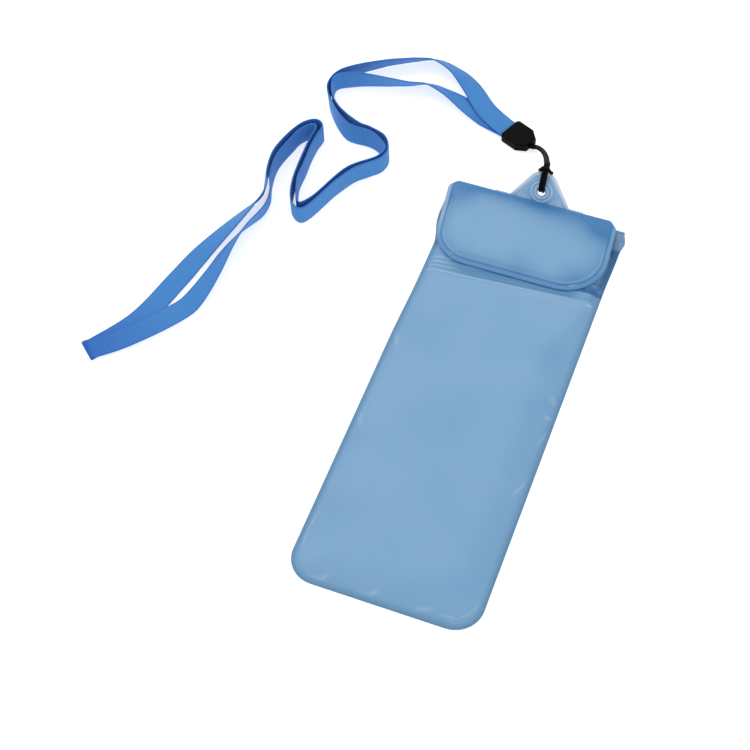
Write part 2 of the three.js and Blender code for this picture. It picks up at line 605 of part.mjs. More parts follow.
// One leg of the thin cord in the tab's frame: down its face, through the hole, up behind it and round itself.
const LEG = CORD / 2 + 0.12;
const FACE = TAB_THICKNESS / 2 + TAB_RIM_HEIGHT + CORD / 2 + 0.25;
const KNOT_LEG = [
  [LEG, TAB_LENGTH + 2.6, FACE - 0.6],
  [LEG, TAB_LENGTH + 0.2, FACE + 0.1],
  [LEG, TAB_HOLE_AT + 3.2, FACE],
  [LEG, TAB_HOLE_AT + 1.1, FACE - 0.8],
  [LEG, TAB_HOLE_AT + 0.6, 0],
  [LEG, TAB_HOLE_AT + 1.1, 0.8 - FACE],
  [LEG, TAB_HOLE_AT + 3.2, -FACE],
  [LEG + 1.2, TAB_LENGTH - 0.5, -FACE],
  [LEG + 1.9, TAB_LENGTH + 1.5, -0.9],
  [LEG + 2, TAB_LENGTH + 2, 0.9],
  [LEG + 1.75, TAB_LENGTH + 1.4, FACE + 0.85],
  [LEG + 0.6, TAB_LENGTH + 1.1, FACE + CORD + 0.15],
];
// The free run of both strands from inside the clamp up to the knot.
const RUN_LEFT = [
  [-25.4, 307.6, 2.45], [-22.7, 306.4, 2.45], [-18.6, 304.6, 2.5], [-16, 302.7, 4.5],
  [-11.7, 297.4, 7.8], [-7, 289, 13.2], [-4.6, 283, 17.6], [-3.5, 279.1, 20.6],
];
const RUN_RIGHT = [
  [-24.6, 309.4, 2.45], [-21.8, 308.2, 2.45], [-17.7, 306.4, 2.5], [-15, 304.1, 3.9],
  [-10.9, 299, 6.6], [-6.2, 290.4, 12], [-3.4, 284.2, 16.6], [-1.7, 279.7, 20.2],
];

function buildCord() {
  tabGroup.updateMatrixWorld(true);
  const place = ([a, b, c], mirror) => new THREE.Vector3(mirror * a, b, c).applyMatrix4(tabGroup.matrixWorld);
  const run = (list) => list.map((point) => new THREE.Vector3(...point));
  const left = KNOT_LEG.map((point) => place(point, -1));
  const right = KNOT_LEG.map((point) => place(point, 1));
  const bight = place([0, TAB_LENGTH + 1, FACE + CORD + 0.3], 1);
  const route = [...run(RUN_LEFT), ...left, bight, ...right.reverse(), ...run(RUN_RIGHT).reverse()];
  const curve = new THREE.CatmullRomCurve3(route, false, 'centripetal');
  const points = curve.getPoints(2 * (route.length - 1));
  const frames = [up];
  for (let i = 1; i < points.length; i++) {
    const tangent = curve.getTangent(i / (points.length - 1));
    const carried = frames[i - 1].clone().addScaledVector(tangent, -frames[i - 1].dot(tangent));
    frames.push(carried.normalize());
  }
  const section = new THREE.Shape();
  section.absarc(0, 0, CORD / 2, 0, 2 * Math.PI, false);
  return sweep(section, new LaidPath(points, frames));
}

const pouch = new THREE.Group();
function add(name, geometry, material, parent = pouch) {
  const mesh = new THREE.Mesh(geometry, material);
  mesh.name = name;
  parent.add(mesh);
  return mesh;
}

add('back_film', buildRearFilm(), filmMaterial());
add('front_film', buildFrontFilm(), filmMaterial());
add('flap_lining', buildFlapLining(), filmMaterial());
add('zip_rib_strip', buildRibStrip(), zipMaterial());
add('zip_groove_strip', buildGrooveStrip(), zipMaterial());
add('loop_strip', buildClosureStrip(FRONT_TOP), stripMaterial());
add('hook_strip', buildClosureStrip(FRONT_TOP + STRIP_THICKNESS), stripMaterial());
add('hang_tab', buildTab(), tabMaterial(), tabGroup);
pouch.add(tabGroup);

const clamp = new THREE.Group();
clamp.position.set(CLAMP_BACK_X, CLAMP_BACK_Y, 0);
clamp.rotation.z = CLAMP_TURN;
add('clamp_upper', buildClampHalf(1), blackMaterial(), clamp);
add('clamp_lower', buildClampHalf(-1), blackMaterial(), clamp);
pouch.add(clamp);
add('loop_cord', buildCord(), blackMaterial());
add('lanyard_ribbon', buildRibbon(), ribbonMaterial());

// The origin is under the middle of the pouch's own box, the lanyard left out.
const reach = new THREE.Box3();
pouch.updateMatrixWorld(true);
for (const name of ['back_film', 'front_film', 'flap_lining', 'hang_tab']) {
  reach.expandByObject(pouch.getObjectByName(name), true);
}
pouch.position.set(-(reach.min.x + reach.max.x) / 2, -(reach.min.y + reach.max.y) / 2, -reach.min.z);

const model = new THREE.Group();
model.add(pouch);
export default model;
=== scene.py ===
"""Looks of a flat waterproof phone pouch with a fold-over flap, a hanging tab and a ribbon lanyard.

The pouch's own drawing frame is in millimetres, with x across it, y from its closed end and z up
from the floor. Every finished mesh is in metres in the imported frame.
"""

import logging
import math
from collections.abc import Sequence
from dataclasses import dataclass
from enum import Enum

import bmesh
import bpy
import numpy as np
from mathutils import Matrix, Vector, noise

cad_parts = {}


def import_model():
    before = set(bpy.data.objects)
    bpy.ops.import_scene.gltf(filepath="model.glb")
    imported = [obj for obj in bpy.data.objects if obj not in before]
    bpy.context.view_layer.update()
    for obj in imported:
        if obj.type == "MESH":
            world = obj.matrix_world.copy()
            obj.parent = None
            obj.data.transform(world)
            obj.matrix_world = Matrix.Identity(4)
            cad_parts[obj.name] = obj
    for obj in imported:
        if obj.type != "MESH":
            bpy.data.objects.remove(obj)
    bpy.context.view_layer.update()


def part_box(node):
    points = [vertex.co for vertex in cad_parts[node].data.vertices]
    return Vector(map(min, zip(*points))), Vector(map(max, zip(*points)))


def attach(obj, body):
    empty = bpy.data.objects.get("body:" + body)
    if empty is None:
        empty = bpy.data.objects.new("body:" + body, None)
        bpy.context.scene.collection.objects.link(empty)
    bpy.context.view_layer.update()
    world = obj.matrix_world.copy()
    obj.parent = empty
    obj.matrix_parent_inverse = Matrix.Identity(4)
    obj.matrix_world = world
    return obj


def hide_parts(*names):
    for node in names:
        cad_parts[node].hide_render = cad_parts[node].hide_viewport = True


LOG = logging.getLogger("pouch")
MM = 0.001
BODY = "root"
UP = (0.0, 0.0, 1.0)
Row = tuple[float, ...]
Faces = list[tuple[int, ...]]
Grid = np.ndarray


class Side(Enum):
    """Which face of a sheet is meant."""

    INNER = 0
    OUTER = 1


@dataclass(frozen=True)
class PouchSizes:
    """Sizes that several films share, in millimetres."""

    body_width: float = 100.0
    body_corner: float = 15.0
    film: float = 0.4
    weld: float = 2.6
    neck_start: float = 218.0
    neck_length: float = 26.0
    flare_left: float = 3.8
    flare_right: float = 0.6
    waist: float = 0.9
    waist_start: Row = (150.0, 195.0)
    waist_end: Row = (222.0, 236.0)
    ear_bulge: float = 1.1
    ear_at: float = 254.5
    ear_half: float = 3.5
    ear_round: float = 1.2
    ear_step: Row = (257.0, 263.5)
    ear_wrap: float = 0.06
    flap_narrow: float = 1.4
    flap_narrow_end: float = 0.8
    box_right: float = 51.5
    zip_centre: float = 209.0
    zip_slant: float = 3.9
    zip_gap: float = 3.0
    body_gap: float = 3.6
    mouth: float = 243.0
    fold_line: float = 262.5
    fold_inner: float = 2.6
    fold_rounding: float = 6.0
    fold_rounding_reach: float = 9.0
    flap_width: float = 99.0
    flap_drop: float = 53.3
    flap_corner_left: float = 20.0
    flap_corner_right: float = 26.0
    flap_puff: float = 2.2
    flap_shift_fold: float = -4.6
    flap_shift_end: float = -0.3
    flap_slant: float = 0.1
    droop: float = 1.3
    droop_reach: float = 7.0
    droop_start: Row = (4.0, 16.0)

    @property
    def fold_arc(self) -> float:
        """Length of the sheet that lies in the fold."""
        return math.pi * (self.fold_inner + self.film / 2)

    @property
    def flap_start(self) -> float:
        """Length along the sheet where the flap lies flat again."""
        return self.fold_line + self.fold_arc

    @property
    def ear_end(self) -> float:
        """Length along the sheet where its right edge steps in to the flap's."""
        return self.fold_line + self.ear_wrap * self.fold_arc

    @property
    def sheet_length(self) -> float:
        """Whole length of the sheet, from the closed end to the flap's lower edge."""
        return self.flap_start + self.flap_drop


SIZES = PouchSizes()


def smooth(value: float, low: float, high: float) -> float:
    """Smooth step of value from low to high."""
    t = min(max((value - low) / (high - low), 0.0), 1.0)
    return t * t * (3.0 - 2.0 * t)


def bell(value: float, centre: float, width: float) -> float:
    """Smooth bell of height 1 about a centre."""
    return math.exp(-(((value - centre) / width) ** 2))


def lerp(a: float, b: float, t: float) -> float:
    """Straight blend of a and b."""
    return a + (b - a) * t


def soft_noise(x: float, y: float, size: float, layer: float) -> float:
    """Even noise of one size over the pouch.

    Args:
        x: place across the pouch.
        y: place along the pouch.
        size: width of one patch, in millimetres.
        layer: number that picks one pattern.

    Returns:
        A value from about -1 to 1.
    """
    return noise.noise(Vector((x / size, y / size, layer)))


class Drawing:
    """Carries points from the pouch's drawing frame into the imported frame."""

    def __init__(self) -> None:
        """Find the drawing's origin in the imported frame."""
        low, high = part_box("back_film")
        self.offset = Vector((high[0] / MM - SIZES.box_right, low[1] / MM, 0.0))

    def place(self, points: Grid) -> Grid:
        """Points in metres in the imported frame.

        Args:
            points: points in the drawing frame, in millimetres.

        Returns:
            The same points, moved and scaled.
        """
        return (np.asarray(points, float) + np.array(self.offset)) * MM


# ---- shader and geometry node writing


class Socket:
    """Wraps a shader socket so that maths on values reads as Python."""

    def __init__(self, shader: "Shader", socket: bpy.types.NodeSocket) -> None:
        """Keep a socket and the shader that it belongs to."""
        self.shader = shader
        self.socket = socket

    def _math(self, operation: str, *values: "Socket | float") -> "Socket":
        """One Math node on these values."""
        return self.shader.node("ShaderNodeMath", {"operation": operation}, *values)

    def __add__(self, other: "Socket | float") -> "Socket":
        """self + other."""
        return self._math("ADD", self, other)

    __radd__ = __add__

    def __sub__(self, other: "Socket | float") -> "Socket":
        """self - other."""
        return self._math("SUBTRACT", self, other)

    def __rsub__(self, other: "Socket | float") -> "Socket":
        """other - self."""
        return self._math("SUBTRACT", other, self)

    def __mul__(self, other: "Socket | float") -> "Socket":
        """self * other."""
        return self._math("MULTIPLY", self, other)

    __rmul__ = __mul__

    def __pow__(self, other: "Socket | float") -> "Socket":
        """self ** other."""
        return self._math("POWER", self, other)

    def __rpow__(self, other: "Socket | float") -> "Socket":
        """other ** self."""
        return self._math("POWER", other, self)

    def sine(self) -> "Socket":
        """Sine of the value."""
        return self._math("SINE", self)

    def size(self) -> "Socket":
        """The value without its sign."""
        return self._math("ABSOLUTE", self)

    def clamp(self) -> "Socket":
        """The value held between 0 and 1."""
        return self._math("MINIMUM", self._math("MAXIMUM", self, 0.0), 1.0)


class Shader:
    """One material whose nodes are written by this script."""

    def __init__(self, name: str) -> None:
        """Start a material that has only its output.

        Args:
            name: the material's name.
        """
        self.material = bpy.data.materials.new(name)
        self.material.use_nodes = True
        self.tree = self.material.node_tree
        self.tree.nodes.clear()
        self.output = self.tree.nodes.new("ShaderNodeOutputMaterial")

    def node(
        self,
        kind: str,
        settings: dict[str, object] | None = None,
        *values: "Socket | float | Sequence[float] | None",
        out: int | str = 0,
        **named: "Socket | float | Sequence[float]",
    ) -> Socket:
        """One node with its settings and socket values.

        Args:
            kind: the node's type.
            settings: the node's own properties, set first.
            values: what goes into its inputs, in order.
            out: the output that is used.
            named: what goes into inputs by name, with _ for a space.

        Returns:
            The chosen output.
        """
        made = self.tree.nodes.new(kind)
        for key, value in (settings or {}).items():
            setattr(made, key, value)
        for index, value in enumerate(values):
            if value is not None:
                self._feed(made.inputs[index], value)
        for key, value in named.items():
            self._feed(made.inputs[key.replace("_", " ")], value)
        return Socket(self, made.outputs[out])

    def _feed(self, entry: bpy.types.NodeSocket, value: "Socket | float | Sequence[float]") -> None:
        """Link or set one input.

        Args:
            entry: the node's input.
            value: a socket to link, or a plain value.
        """
        if isinstance(value, Socket):
            self.tree.links.new(value.socket, entry)
        else:
            entry.default_value = value

    def attribute(self, name: str) -> Socket:
        """A number stored on the mesh."""
        return self.node("ShaderNodeAttribute", {"attribute_name": name}, out="Fac")

    def coordinates(self) -> Socket:
        """Object coordinates, in metres."""
        return self.node("ShaderNodeTexCoord", out="Object")

    def grain(self, size_mm: float, detail: float = 2.0, rough: float = 0.5) -> Socket:
        """Even noise on the object's coordinates.

        Args:
            size_mm: width of one patch.
            detail: number of finer layers.
            rough: strength of the finer layers.

        Returns:
            A value about 0.5.
        """
        return self.node(
            "ShaderNodeTexNoise",
            {"noise_dimensions": "3D"},
            Vector=self.coordinates(),
            Scale=1.0 / (size_mm * MM),
            Detail=detail,
            Roughness=rough,
        )

    def step(self, value: Socket, low: float, high: float) -> Socket:
        """Smooth step of a value from low to high.

        Args:
            value: the value.
            low: where the step starts.
            high: where it ends.

        Returns:
            0 below low and 1 above high.
        """
        return self.node(
            "ShaderNodeMapRange", {"interpolation_type": "SMOOTHSTEP"}, value, low, high, 0.0, 1.0
        )

    def blend(self, factor: "Socket | float", a: "Socket | Row", b: "Socket | Row") -> Socket:
        """A colour between two colours.

        Args:
            factor: share of the second colour.
            a: the first colour.
            b: the second colour.

        Returns:
            The blended colour.
        """
        # The node's number and vector inputs come between the factor and the colours.
        between = [None] * 5
        return self.node("ShaderNodeMix", {"data_type": "RGBA"}, factor, *between, a, b, out=2)

    def bump(self, height: Socket, distance_mm: float, strength: float = 1.0) -> Socket:
        """A normal from a height.

        Args:
            height: the height.
            distance_mm: how far a height of 1 stands out.
            strength: how much of it shows.

        Returns:
            The normal.
        """
        return self.node(
            "ShaderNodeBump", None, Strength=strength, Distance=distance_mm * MM, Height=height
        )

    def surface(self, **named: "Socket | float | Row") -> bpy.types.Material:
        """The finished Principled surface.

        Args:
            named: values of the surface's sockets, with _ for a space.

        Returns:
            The material.
        """
        made = self.node("ShaderNodeBsdfPrincipled", None, **named)
        self.tree.links.new(made.socket, self.output.inputs["Surface"])
        return self.material


class GeometryTree:
    """One Geometry Nodes tree with named inputs that ends in Realize Instances and Set Material."""

    def __init__(self, name: str) -> None:
        """Start a tree with a shape as its input and output.

        Args:
            name: the tree's name.
        """
        self.tree = bpy.data.node_groups.new(name, "GeometryNodeTree")
        self.socket("Geometry", "NodeSocketGeometry", "INPUT")
        self.socket("Geometry", "NodeSocketGeometry", "OUTPUT")
        self.entry = self.tree.nodes.new("NodeGroupInput")
        self.exit = self.tree.nodes.new("NodeGroupOutput")
        self.inputs: dict[str, str] = {}

    def socket(self, name: str, kind: str, way: str) -> str:
        """One socket of the group, and its identifier."""
        made = self.tree.interface.new_socket(name, in_out=way, socket_type=kind)
        return made.identifier

    def named(self, name: str, kind: str = "NodeSocketFloat") -> bpy.types.NodeSocket:
        """A named input of the tree."""
        self.inputs[name] = self.socket(name, kind, "INPUT")
        return self.entry.outputs[name]

    def node(
        self,
        kind: str,
        settings: dict[str, object] | None = None,
        out: int | str = 0,
        **fed: "bpy.types.NodeSocket | float | str",
    ) -> bpy.types.NodeSocket:
        """One node; inputs are given as i0, i1 and so on, or by name.

        Args:
            kind: the node's type.
            settings: the node's own properties.
            out: the output that is used.
            fed: values or links of its inputs.

        Returns:
            The chosen output.
        """
        made = self.tree.nodes.new(kind)
        for key, value in (settings or {}).items():
            setattr(made, key, value)
        for key, value in fed.items():
            numbered = key[0] == "i" and key[1:].isdigit()
            entry = made.inputs[int(key[1:]) if numbered else key.replace("_", " ")]
            if isinstance(value, bpy.types.NodeSocket):
                self.tree.links.new(value, entry)
            else:
                entry.default_value = value
        return made.outputs[out]

    def attribute(self, name: str) -> bpy.types.NodeSocket:
        """A number stored on the mesh."""
        return self.node("GeometryNodeInputNamedAttribute", {"data_type": "FLOAT"}, Name=name)

    def math(self, operation: str, a: object, b: object = 0.0) -> bpy.types.NodeSocket:
        """One Math node."""
        return self.node("ShaderNodeMath", {"operation": operation}, i0=a, i1=b)

    def finish(self, shape: bpy.types.NodeSocket, material: bpy.types.NodeSocket) -> None:
        """End the tree in Realize Instances and Set Material.

        Args:
            shape: the shape.
            material: its finish.
        """
        smoothed = self.node("GeometryNodeSetShadeSmooth", None, Geometry=shape)
        real = self.node("GeometryNodeRealizeInstances", None, Geometry=smoothed)
        dressed = self.node("GeometryNodeSetMaterial", None, Geometry=real, Material=material)
        self.tree.links.new(dressed, self.exit.inputs[0])

    def apply(self, piece: bpy.types.Object, values: dict[str, object]) -> None:
        """Run the tree on a piece and keep the result as its plain mesh.

        Args:
            piece: the piece that is changed.
            values: the tree's inputs, by name.
        """
        modifier = piece.modifiers.new("rule", "NODES")
        modifier.node_group = self.tree
        for name, value in values.items():
            modifier[self.inputs[name]] = value
        graph = bpy.context.evaluated_depsgraph_get()
        made = bpy.data.meshes.new_from_object(piece.evaluated_get(graph))
        piece.modifiers.remove(modifier)
        piece.data = made


# ---- finishes


@dataclass(frozen=True)
class FilmFinish:
    """Soft blue film: lighter where it is puffed, deeper at welds, with painted shade at folds,
    puffed edges and shaded strips, and painted highlights.
    """

    name: str = "soft_blue_film"
    light: Row = (0.188, 0.385, 0.612, 1.0)
    patch: Row = (0.180, 0.376, 0.60, 1.0)
    # Darker tone of the welds, used also for painted shade.
    deep_tone_and_shade: Row = (0.036, 0.195, 0.45, 1.0)
    rim: Row = (0.078, 0.232, 0.40, 1.0)
    # Colour of the flap's painted shadow on the strip beside it.
    shaded: Row = (0.0, 0.09, 0.27, 1.0)
    # Paler tone, used also for painted highlights.
    pale: Row = (0.37, 0.53, 0.70, 1.0)
    alpha: float = 0.93
    roughness: float = 0.42
    coat: float = 0.12
    coat_roughness: float = 0.22
    pale_and_highlight_share: float = 0.75
    patch_size: float = 34.0
    patch_band: Row = (0.42, 0.62)
    dull_size: float = 9.0
    dull_share: float = 0.12
    pore_size: float = 0.9
    pore_depth: float = 0.03

    def make(self) -> bpy.types.Material:
        """The film's material, which reads the numbers stored on the sheets.

        Returns:
            The material.
        """
        s = Shader(self.name)
        # shade is the share of the flap's painted shadow.
        shade = s.attribute("shade").clamp()
        body = s.step(s.grain(self.patch_size, 1.0), *self.patch_band)
        body = s.blend(body, self.light, self.patch)
        # rim holds the welds' tone and bluer patches, with painted shade at the fold, the flap's
        # puffed edges and below the flap's edge.
        body = s.blend(s.attribute("rim").clamp(), body, self.deep_tone_and_shade)
        # edge holds the welds' tone and the zip's bands with the flap's painted shadow.
        body = s.blend(s.attribute("edge").clamp(), body, self.rim)
        # The paler share holds the zip's pale stripes and painted highlights.
        body = s.blend((s.attribute("streak") * self.pale_and_highlight_share).clamp(), body, self.pale)
        return s.surface(
            Base_Color=s.blend(shade, body, self.shaded),
            Roughness=self.roughness + self.dull_share * s.grain(self.dull_size, 2.0),
            # The film is made opaque under the painted shadow.
            Alpha=self.alpha + (1 - self.alpha) * shade,
            IOR=1.5,
            Coat_Weight=self.coat,
            Coat_Roughness=self.coat_roughness,
            Normal=s.bump(s.grain(self.pore_size, 3.0), self.pore_depth, 0.5),
        )


@dataclass(frozen=True)
class ClearFinish:
    """Clear, slightly blue moulded plastic."""

    name: str
    colour: Row = (0.19, 0.46, 0.73, 1.0)
    edge: Row = (0.62, 0.75, 0.90, 1.0)
    alpha: float = 0.84
    roughness: float = 0.2
    coat: float = 0.4
    coat_roughness: float = 0.08
    edge_share: float = 0.85
    edge_clear: float = 0.14
    cloud_size: float = 3.0
    cloud_share: float = 0.2
    pore_size: float = 1.4
    pore_depth: float = 0.02

    def make(self) -> bpy.types.Material:
        """The clear material; a number on the mesh makes its thick rims paler.

        Returns:
            The material.
        """
        s = Shader(self.name)
        thick = s.attribute("rim")
        cloudy = s.grain(self.cloud_size, 2.0)
        clouds = self.cloud_share * (cloudy - 0.5)
        return s.surface(
            Base_Color=s.blend((thick * self.edge_share).clamp(), self.colour, self.edge),
            Alpha=(self.alpha - self.edge_clear * thick + clouds).clamp(),
            Roughness=self.roughness + 0.1 * cloudy,
            IOR=1.5,
            Coat_Weight=self.coat,
            Coat_Roughness=self.coat_roughness,
            Normal=s.bump(s.grain(self.pore_size, 2.0), self.pore_depth, 0.5),
        )


@dataclass(frozen=True)
class RibbonFinish:
    """Woven blue ribbon with cross ribs and plain edges."""

    name: str = "ribbed_blue_ribbon"
    # Crest and groove paint the ribs' highlight and shade: lighter crests and darker grooves.
    crest: Row = (0.062, 0.245, 0.60, 1.0)
    groove: Row = (0.034, 0.175, 0.50, 1.0)
    edge: Row = (0.035, 0.18, 0.52, 1.0)
    shaded: Row = (0.006, 0.075, 0.42, 1.0)
    sheen: Row = (0.5, 0.7, 1.0, 1.0)
    pitch: float = 1.6
    warp_pitch: float = 0.42
    rib_power: float = 0.8
    selvedge: Row = (5.55, 5.95)
    selvedge_share: float = 0.7
    patch_size: float = 7.0
    patch_share: float = 0.25
    fibre_size: float = 0.35
    thread_depth: float = 0.08

    def make(self) -> bpy.types.Material:
        """The ribbon's material on its own lengthwise and crosswise numbers.

        Returns:
            The material.
        """
        s = Shader(self.name)
        along = s.attribute("along")
        across = s.attribute("across")
        rib = (along * (math.pi / self.pitch)).sine().size()
        warp = (across * (math.pi / self.warp_pitch)).sine().size()
        # Painted highlight on the rib crests and painted shade in the grooves.
        woven = s.blend(rib**self.rib_power, self.groove, self.crest)
        selvedge = s.step(across.size(), *self.selvedge)
        woven = s.blend(selvedge * self.selvedge_share, woven, self.edge)
        patch = s.step(s.grain(self.patch_size, 2.0), 0.35, 0.75)
        woven = s.blend(patch * self.patch_share, woven, self.crest)
        woven = s.blend(s.attribute("shade").clamp(), woven, self.shaded)
        thread = warp * 0.5 + s.grain(self.fibre_size, 2.0) * 0.5
        return s.surface(
            Base_Color=woven,
            Roughness=0.62 + 0.15 * s.grain(0.6, 1.0),
            Sheen_Weight=0.12,
            Sheen_Roughness=0.4,
            Sheen_Tint=self.sheen,
            Specular_IOR_Level=0.3,
            IOR=1.45,
            Normal=s.bump(thread, self.thread_depth, 0.6),
        )


@dataclass(frozen=True)
class CordFinish:
    """Black braided cord."""

    name: str = "black_braided_cord"
    colour: Row = (0.002, 0.002, 0.003, 1.0)
    crest: Row = (0.007, 0.007, 0.009, 1.0)
    braid_pitch: float = 1.1
    strands_round: float = 4.0
    braid_depth: float = 0.12

    def make(self) -> bpy.types.Material:
        """The cord's material, whose strands cross over each other.

        Returns:
            The material.
        """
        s = Shader(self.name)
        along = s.attribute("along") * (math.pi / self.braid_pitch)
        round_it = s.attribute("around") * self.strands_round
        braid = ((along + round_it).sine() * (along - round_it).sine()).size()
        return s.surface(
            Base_Color=s.blend(braid, self.colour, self.crest),
            Roughness=0.5 + 0.2 * braid,
            IOR=1.45,
            Specular_IOR_Level=0.1,
            Normal=s.bump(braid, self.braid_depth, 0.8),
        )


@dataclass(frozen=True)
class MouldedFinish:
    """Black moulded plastic with a fine spark-eroded grain."""

    name: str = "black_moulded_plastic"
    colour: Row = (0.0012, 0.0012, 0.0018, 1.0)
    worn: Row = (0.0035, 0.0035, 0.0045, 1.0)
    roughness: float = 0.42
    patch_size: float = 2.6
    spark_size: float = 0.35
    spark_depth: float = 0.03

    def make(self) -> bpy.types.Material:
        """The clamp's material.

        Returns:
            The material.
        """
        s = Shader(self.name)
        patch = s.step(s.grain(self.patch_size, 3.0), 0.45, 0.75)
        return s.surface(
            Base_Color=s.blend(patch * 0.6, self.colour, self.worn),
            Roughness=self.roughness + 0.18 * patch,
            IOR=1.5,
            Specular_IOR_Level=0.05,
            Normal=s.bump(s.grain(self.spark_size, 3.0), self.spark_depth, 0.7),
        )


@dataclass(frozen=True)
class TapeFinish:
    """Hook and loop tape."""

    name: str = "hook_and_loop_tape"
    colour: Row = (0.04, 0.12, 0.30, 1.0)
    fibre: Row = (0.13, 0.27, 0.50, 1.0)
    pile_size: float = 0.7
    pile_depth: float = 0.3

    def make(self) -> bpy.types.Material:
        """The tape's material.

        Returns:
            The material.
        """
        s = Shader(self.name)
        pile = s.grain(self.pile_size, 4.0, 0.7)
        return s.surface(
            Base_Color=s.blend(s.step(pile, 0.3, 0.7), self.colour, self.fibre),
            Roughness=0.9,
            Sheen_Weight=0.4,
            Normal=s.bump(pile, self.pile_depth, 0.9),
        )


@dataclass(frozen=True)
class FloorFinish:
    """Plain pale studio floor."""

    name: str = "pale_floor"
    colour: Row = (0.60, 0.60, 0.60, 1.0)
    glow: float = 0.65

    def make(self) -> bpy.types.Material:
        """The floor's material.

        Returns:
            The material.
        """
        s = Shader(self.name)
        return s.surface(
            Base_Color=self.colour,
            Roughness=0.9,
            Specular_IOR_Level=0.1,
            Emission_Color=(1.0, 1.0, 1.0, 1.0),
            Emission_Strength=self.glow,
        )


# ---- meshes


def new_piece(
    name: str, points: Grid, faces: Sequence[Sequence[int]], material: bpy.types.Material
) -> bpy.types.Object:
    """A smooth mesh object in the scene.

    Args:
        name: the piece's name.
        points: its points in metres.
        faces: its faces.
        material: its finish.

    Returns:
        The object.
    """
    mesh = bpy.data.meshes.new(name)
    mesh.from_pydata([tuple(p) for p in points], [], [tuple(f) for f in faces])
    mesh.materials.append(material)
    mesh.polygons.foreach_set("use_smooth", [True] * len(mesh.polygons))
    mesh.update()
    piece = bpy.data.objects.new(name, mesh)
    bpy.context.scene.collection.objects.link(piece)
    return piece


def store(piece: bpy.types.Object, name: str, values: Sequence[float]) -> None:
    """Store one number for each point of a piece."""
    layer = piece.data.attributes.new(name, "FLOAT", "POINT")
    layer.data.foreach_set("value", np.asarray(values, np.float32).ravel())


def settle(piece: bpy.types.Object, slot: str, *nodes: str) -> None:
    """Let a finished piece ride and stand for its nodes.

    Args:
        piece: the finished piece.
        slot: its material slot; not used.
        nodes: the CAD nodes that it stands for.
    """
    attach(piece, BODY)
    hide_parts(*nodes)
    LOG.info("%s stands for %s, %d faces", piece.name, ", ".join(nodes), len(piece.data.polygons))


def sheet_faces(rows: int, columns: int) -> Faces:
    """Faces of a closed sheet whose outer grid comes first and whose inner grid comes second.

    Args:
        rows: number of rows of points.
        columns: number of points in a row.

    Returns:
        The faces of both grids and of the rim between them.
    """
    half = rows * columns
    faces = []
    for row in range(rows - 1):
        for column in range(columns - 1):
            a = row * columns + column
            b, c, d = a + 1, a + columns + 1, a + columns
            faces.append((a, b, c, d))
            faces.append((d + half, c + half, b + half, a + half))
    border = [*range(columns - 1)]
    border += [row * columns + columns - 1 for row in range(rows - 1)]
    border += [(rows - 1) * columns + column for column in range(columns - 1, 0, -1)]
    border += [row * columns for row in range(rows - 1, 0, -1)]
    for here, following in zip(border, border[1:] + border[:1]):
        faces.append((following, here, here + half, following + half))
    return faces


def corner_inset(from_end: float, radius: float) -> float:
    """How far a rounded end draws a side in, at a distance from that end."""
    reach = min(max(from_end, 0.0), radius)
    return radius - math.sqrt(max(radius**2 - (radius - reach) ** 2, 0.0))


def rim_distance(side: float, end: float, radius: float) -> float:
    """True distance from the rim of a sheet with a rounded corner.

    Args:
        side: distance from the straight side.
        end: distance from the straight end.
        radius: radius of the corner between them.

    Returns:
        The distance from the rim, 0 or more.
    """
    if side < radius and end < radius:
        return max(radius - math.hypot(radius - side, radius - end), 0.0)
    return max(min(side, end), 0.0)


def neck_sides(along: float) -> tuple[float, float]:
    """Left and right side of the body and neck, without the rounded corners.

    Args:
        along: distance from the closed end.

    Returns:
        The left and the right side.
    """
    flare = smooth(along, SIZES.neck_start, SIZES.neck_start + SIZES.neck_length)
    waist = SIZES.waist * smooth(along, *SIZES.waist_start) * (1 - smooth(along, *SIZES.waist_end))
    half = SIZES.body_width / 2
    ear = SIZES.ear_bulge * bell(along, SIZES.ear_at, SIZES.ear_half)
    ear -= SIZES.ear_round * smooth(along, *SIZES.ear_step)
    return waist - half - SIZES.flare_left * flare, half + SIZES.flare_right * flare + ear


def flap_sides(along: float) -> tuple[float, float]:
    """Left and right side of the flap, without its rounded corners.

    Args:
        along: distance along the unfolded sheet.

    Returns:
        The left and the right side.
    """
    down = max(along - SIZES.flap_start, 0.0) / SIZES.flap_drop
    centre = lerp(SIZES.flap_shift_fold, SIZES.flap_shift_end, down)
    narrow = SIZES.flap_narrow * smooth(down, 0, SIZES.flap_narrow_end)
    return centre - SIZES.flap_width / 2 + narrow, centre + SIZES.flap_width / 2


def sheet_edges(along: float) -> tuple[float, float]:
    """Left and right edge of the rear sheet at a length along it, before it is folded.

    Args:
        along: distance along the unfolded sheet.

    Returns:
        The left and the right edge.
    """
    inset = corner_inset(along, SIZES.body_corner)
    neck_left, neck_right = neck_sides(along)
    middle = SIZES.fold_line + SIZES.fold_arc / 2
    rounding = SIZES.fold_rounding * (1 - smooth(abs(along - middle), 0, SIZES.fold_rounding_reach))
    from_end = SIZES.sheet_length - along
    flap_left, flap_right = flap_sides(along)
    if along < middle:
        left = neck_left + inset
    else:
        left = flap_left + corner_inset(from_end, SIZES.flap_corner_left)
    if along < SIZES.ear_end:
        return left + rounding, neck_right - inset
    return left + rounding, flap_right - corner_inset(from_end, SIZES.flap_corner_right) - rounding


# Distances from a sheet's edge where its columns of points stand, close together over the weld.
EDGE_STEPS = (0, 0.25, 0.6, 1.2, 1.9, 2.4, 2.8, 3.2, 3.7, 4.4, 5.4, 6.6, 8.2, 10, 12)
INNER_COLUMNS = 48
# Width of the small step that a puffed sheet makes beside its weld.
STEP_WIDTH = 0.7
# How much thinner than the film its sheet is, so that welded sheets don't lie in one plane.
SHEET_SLACK = 0.02


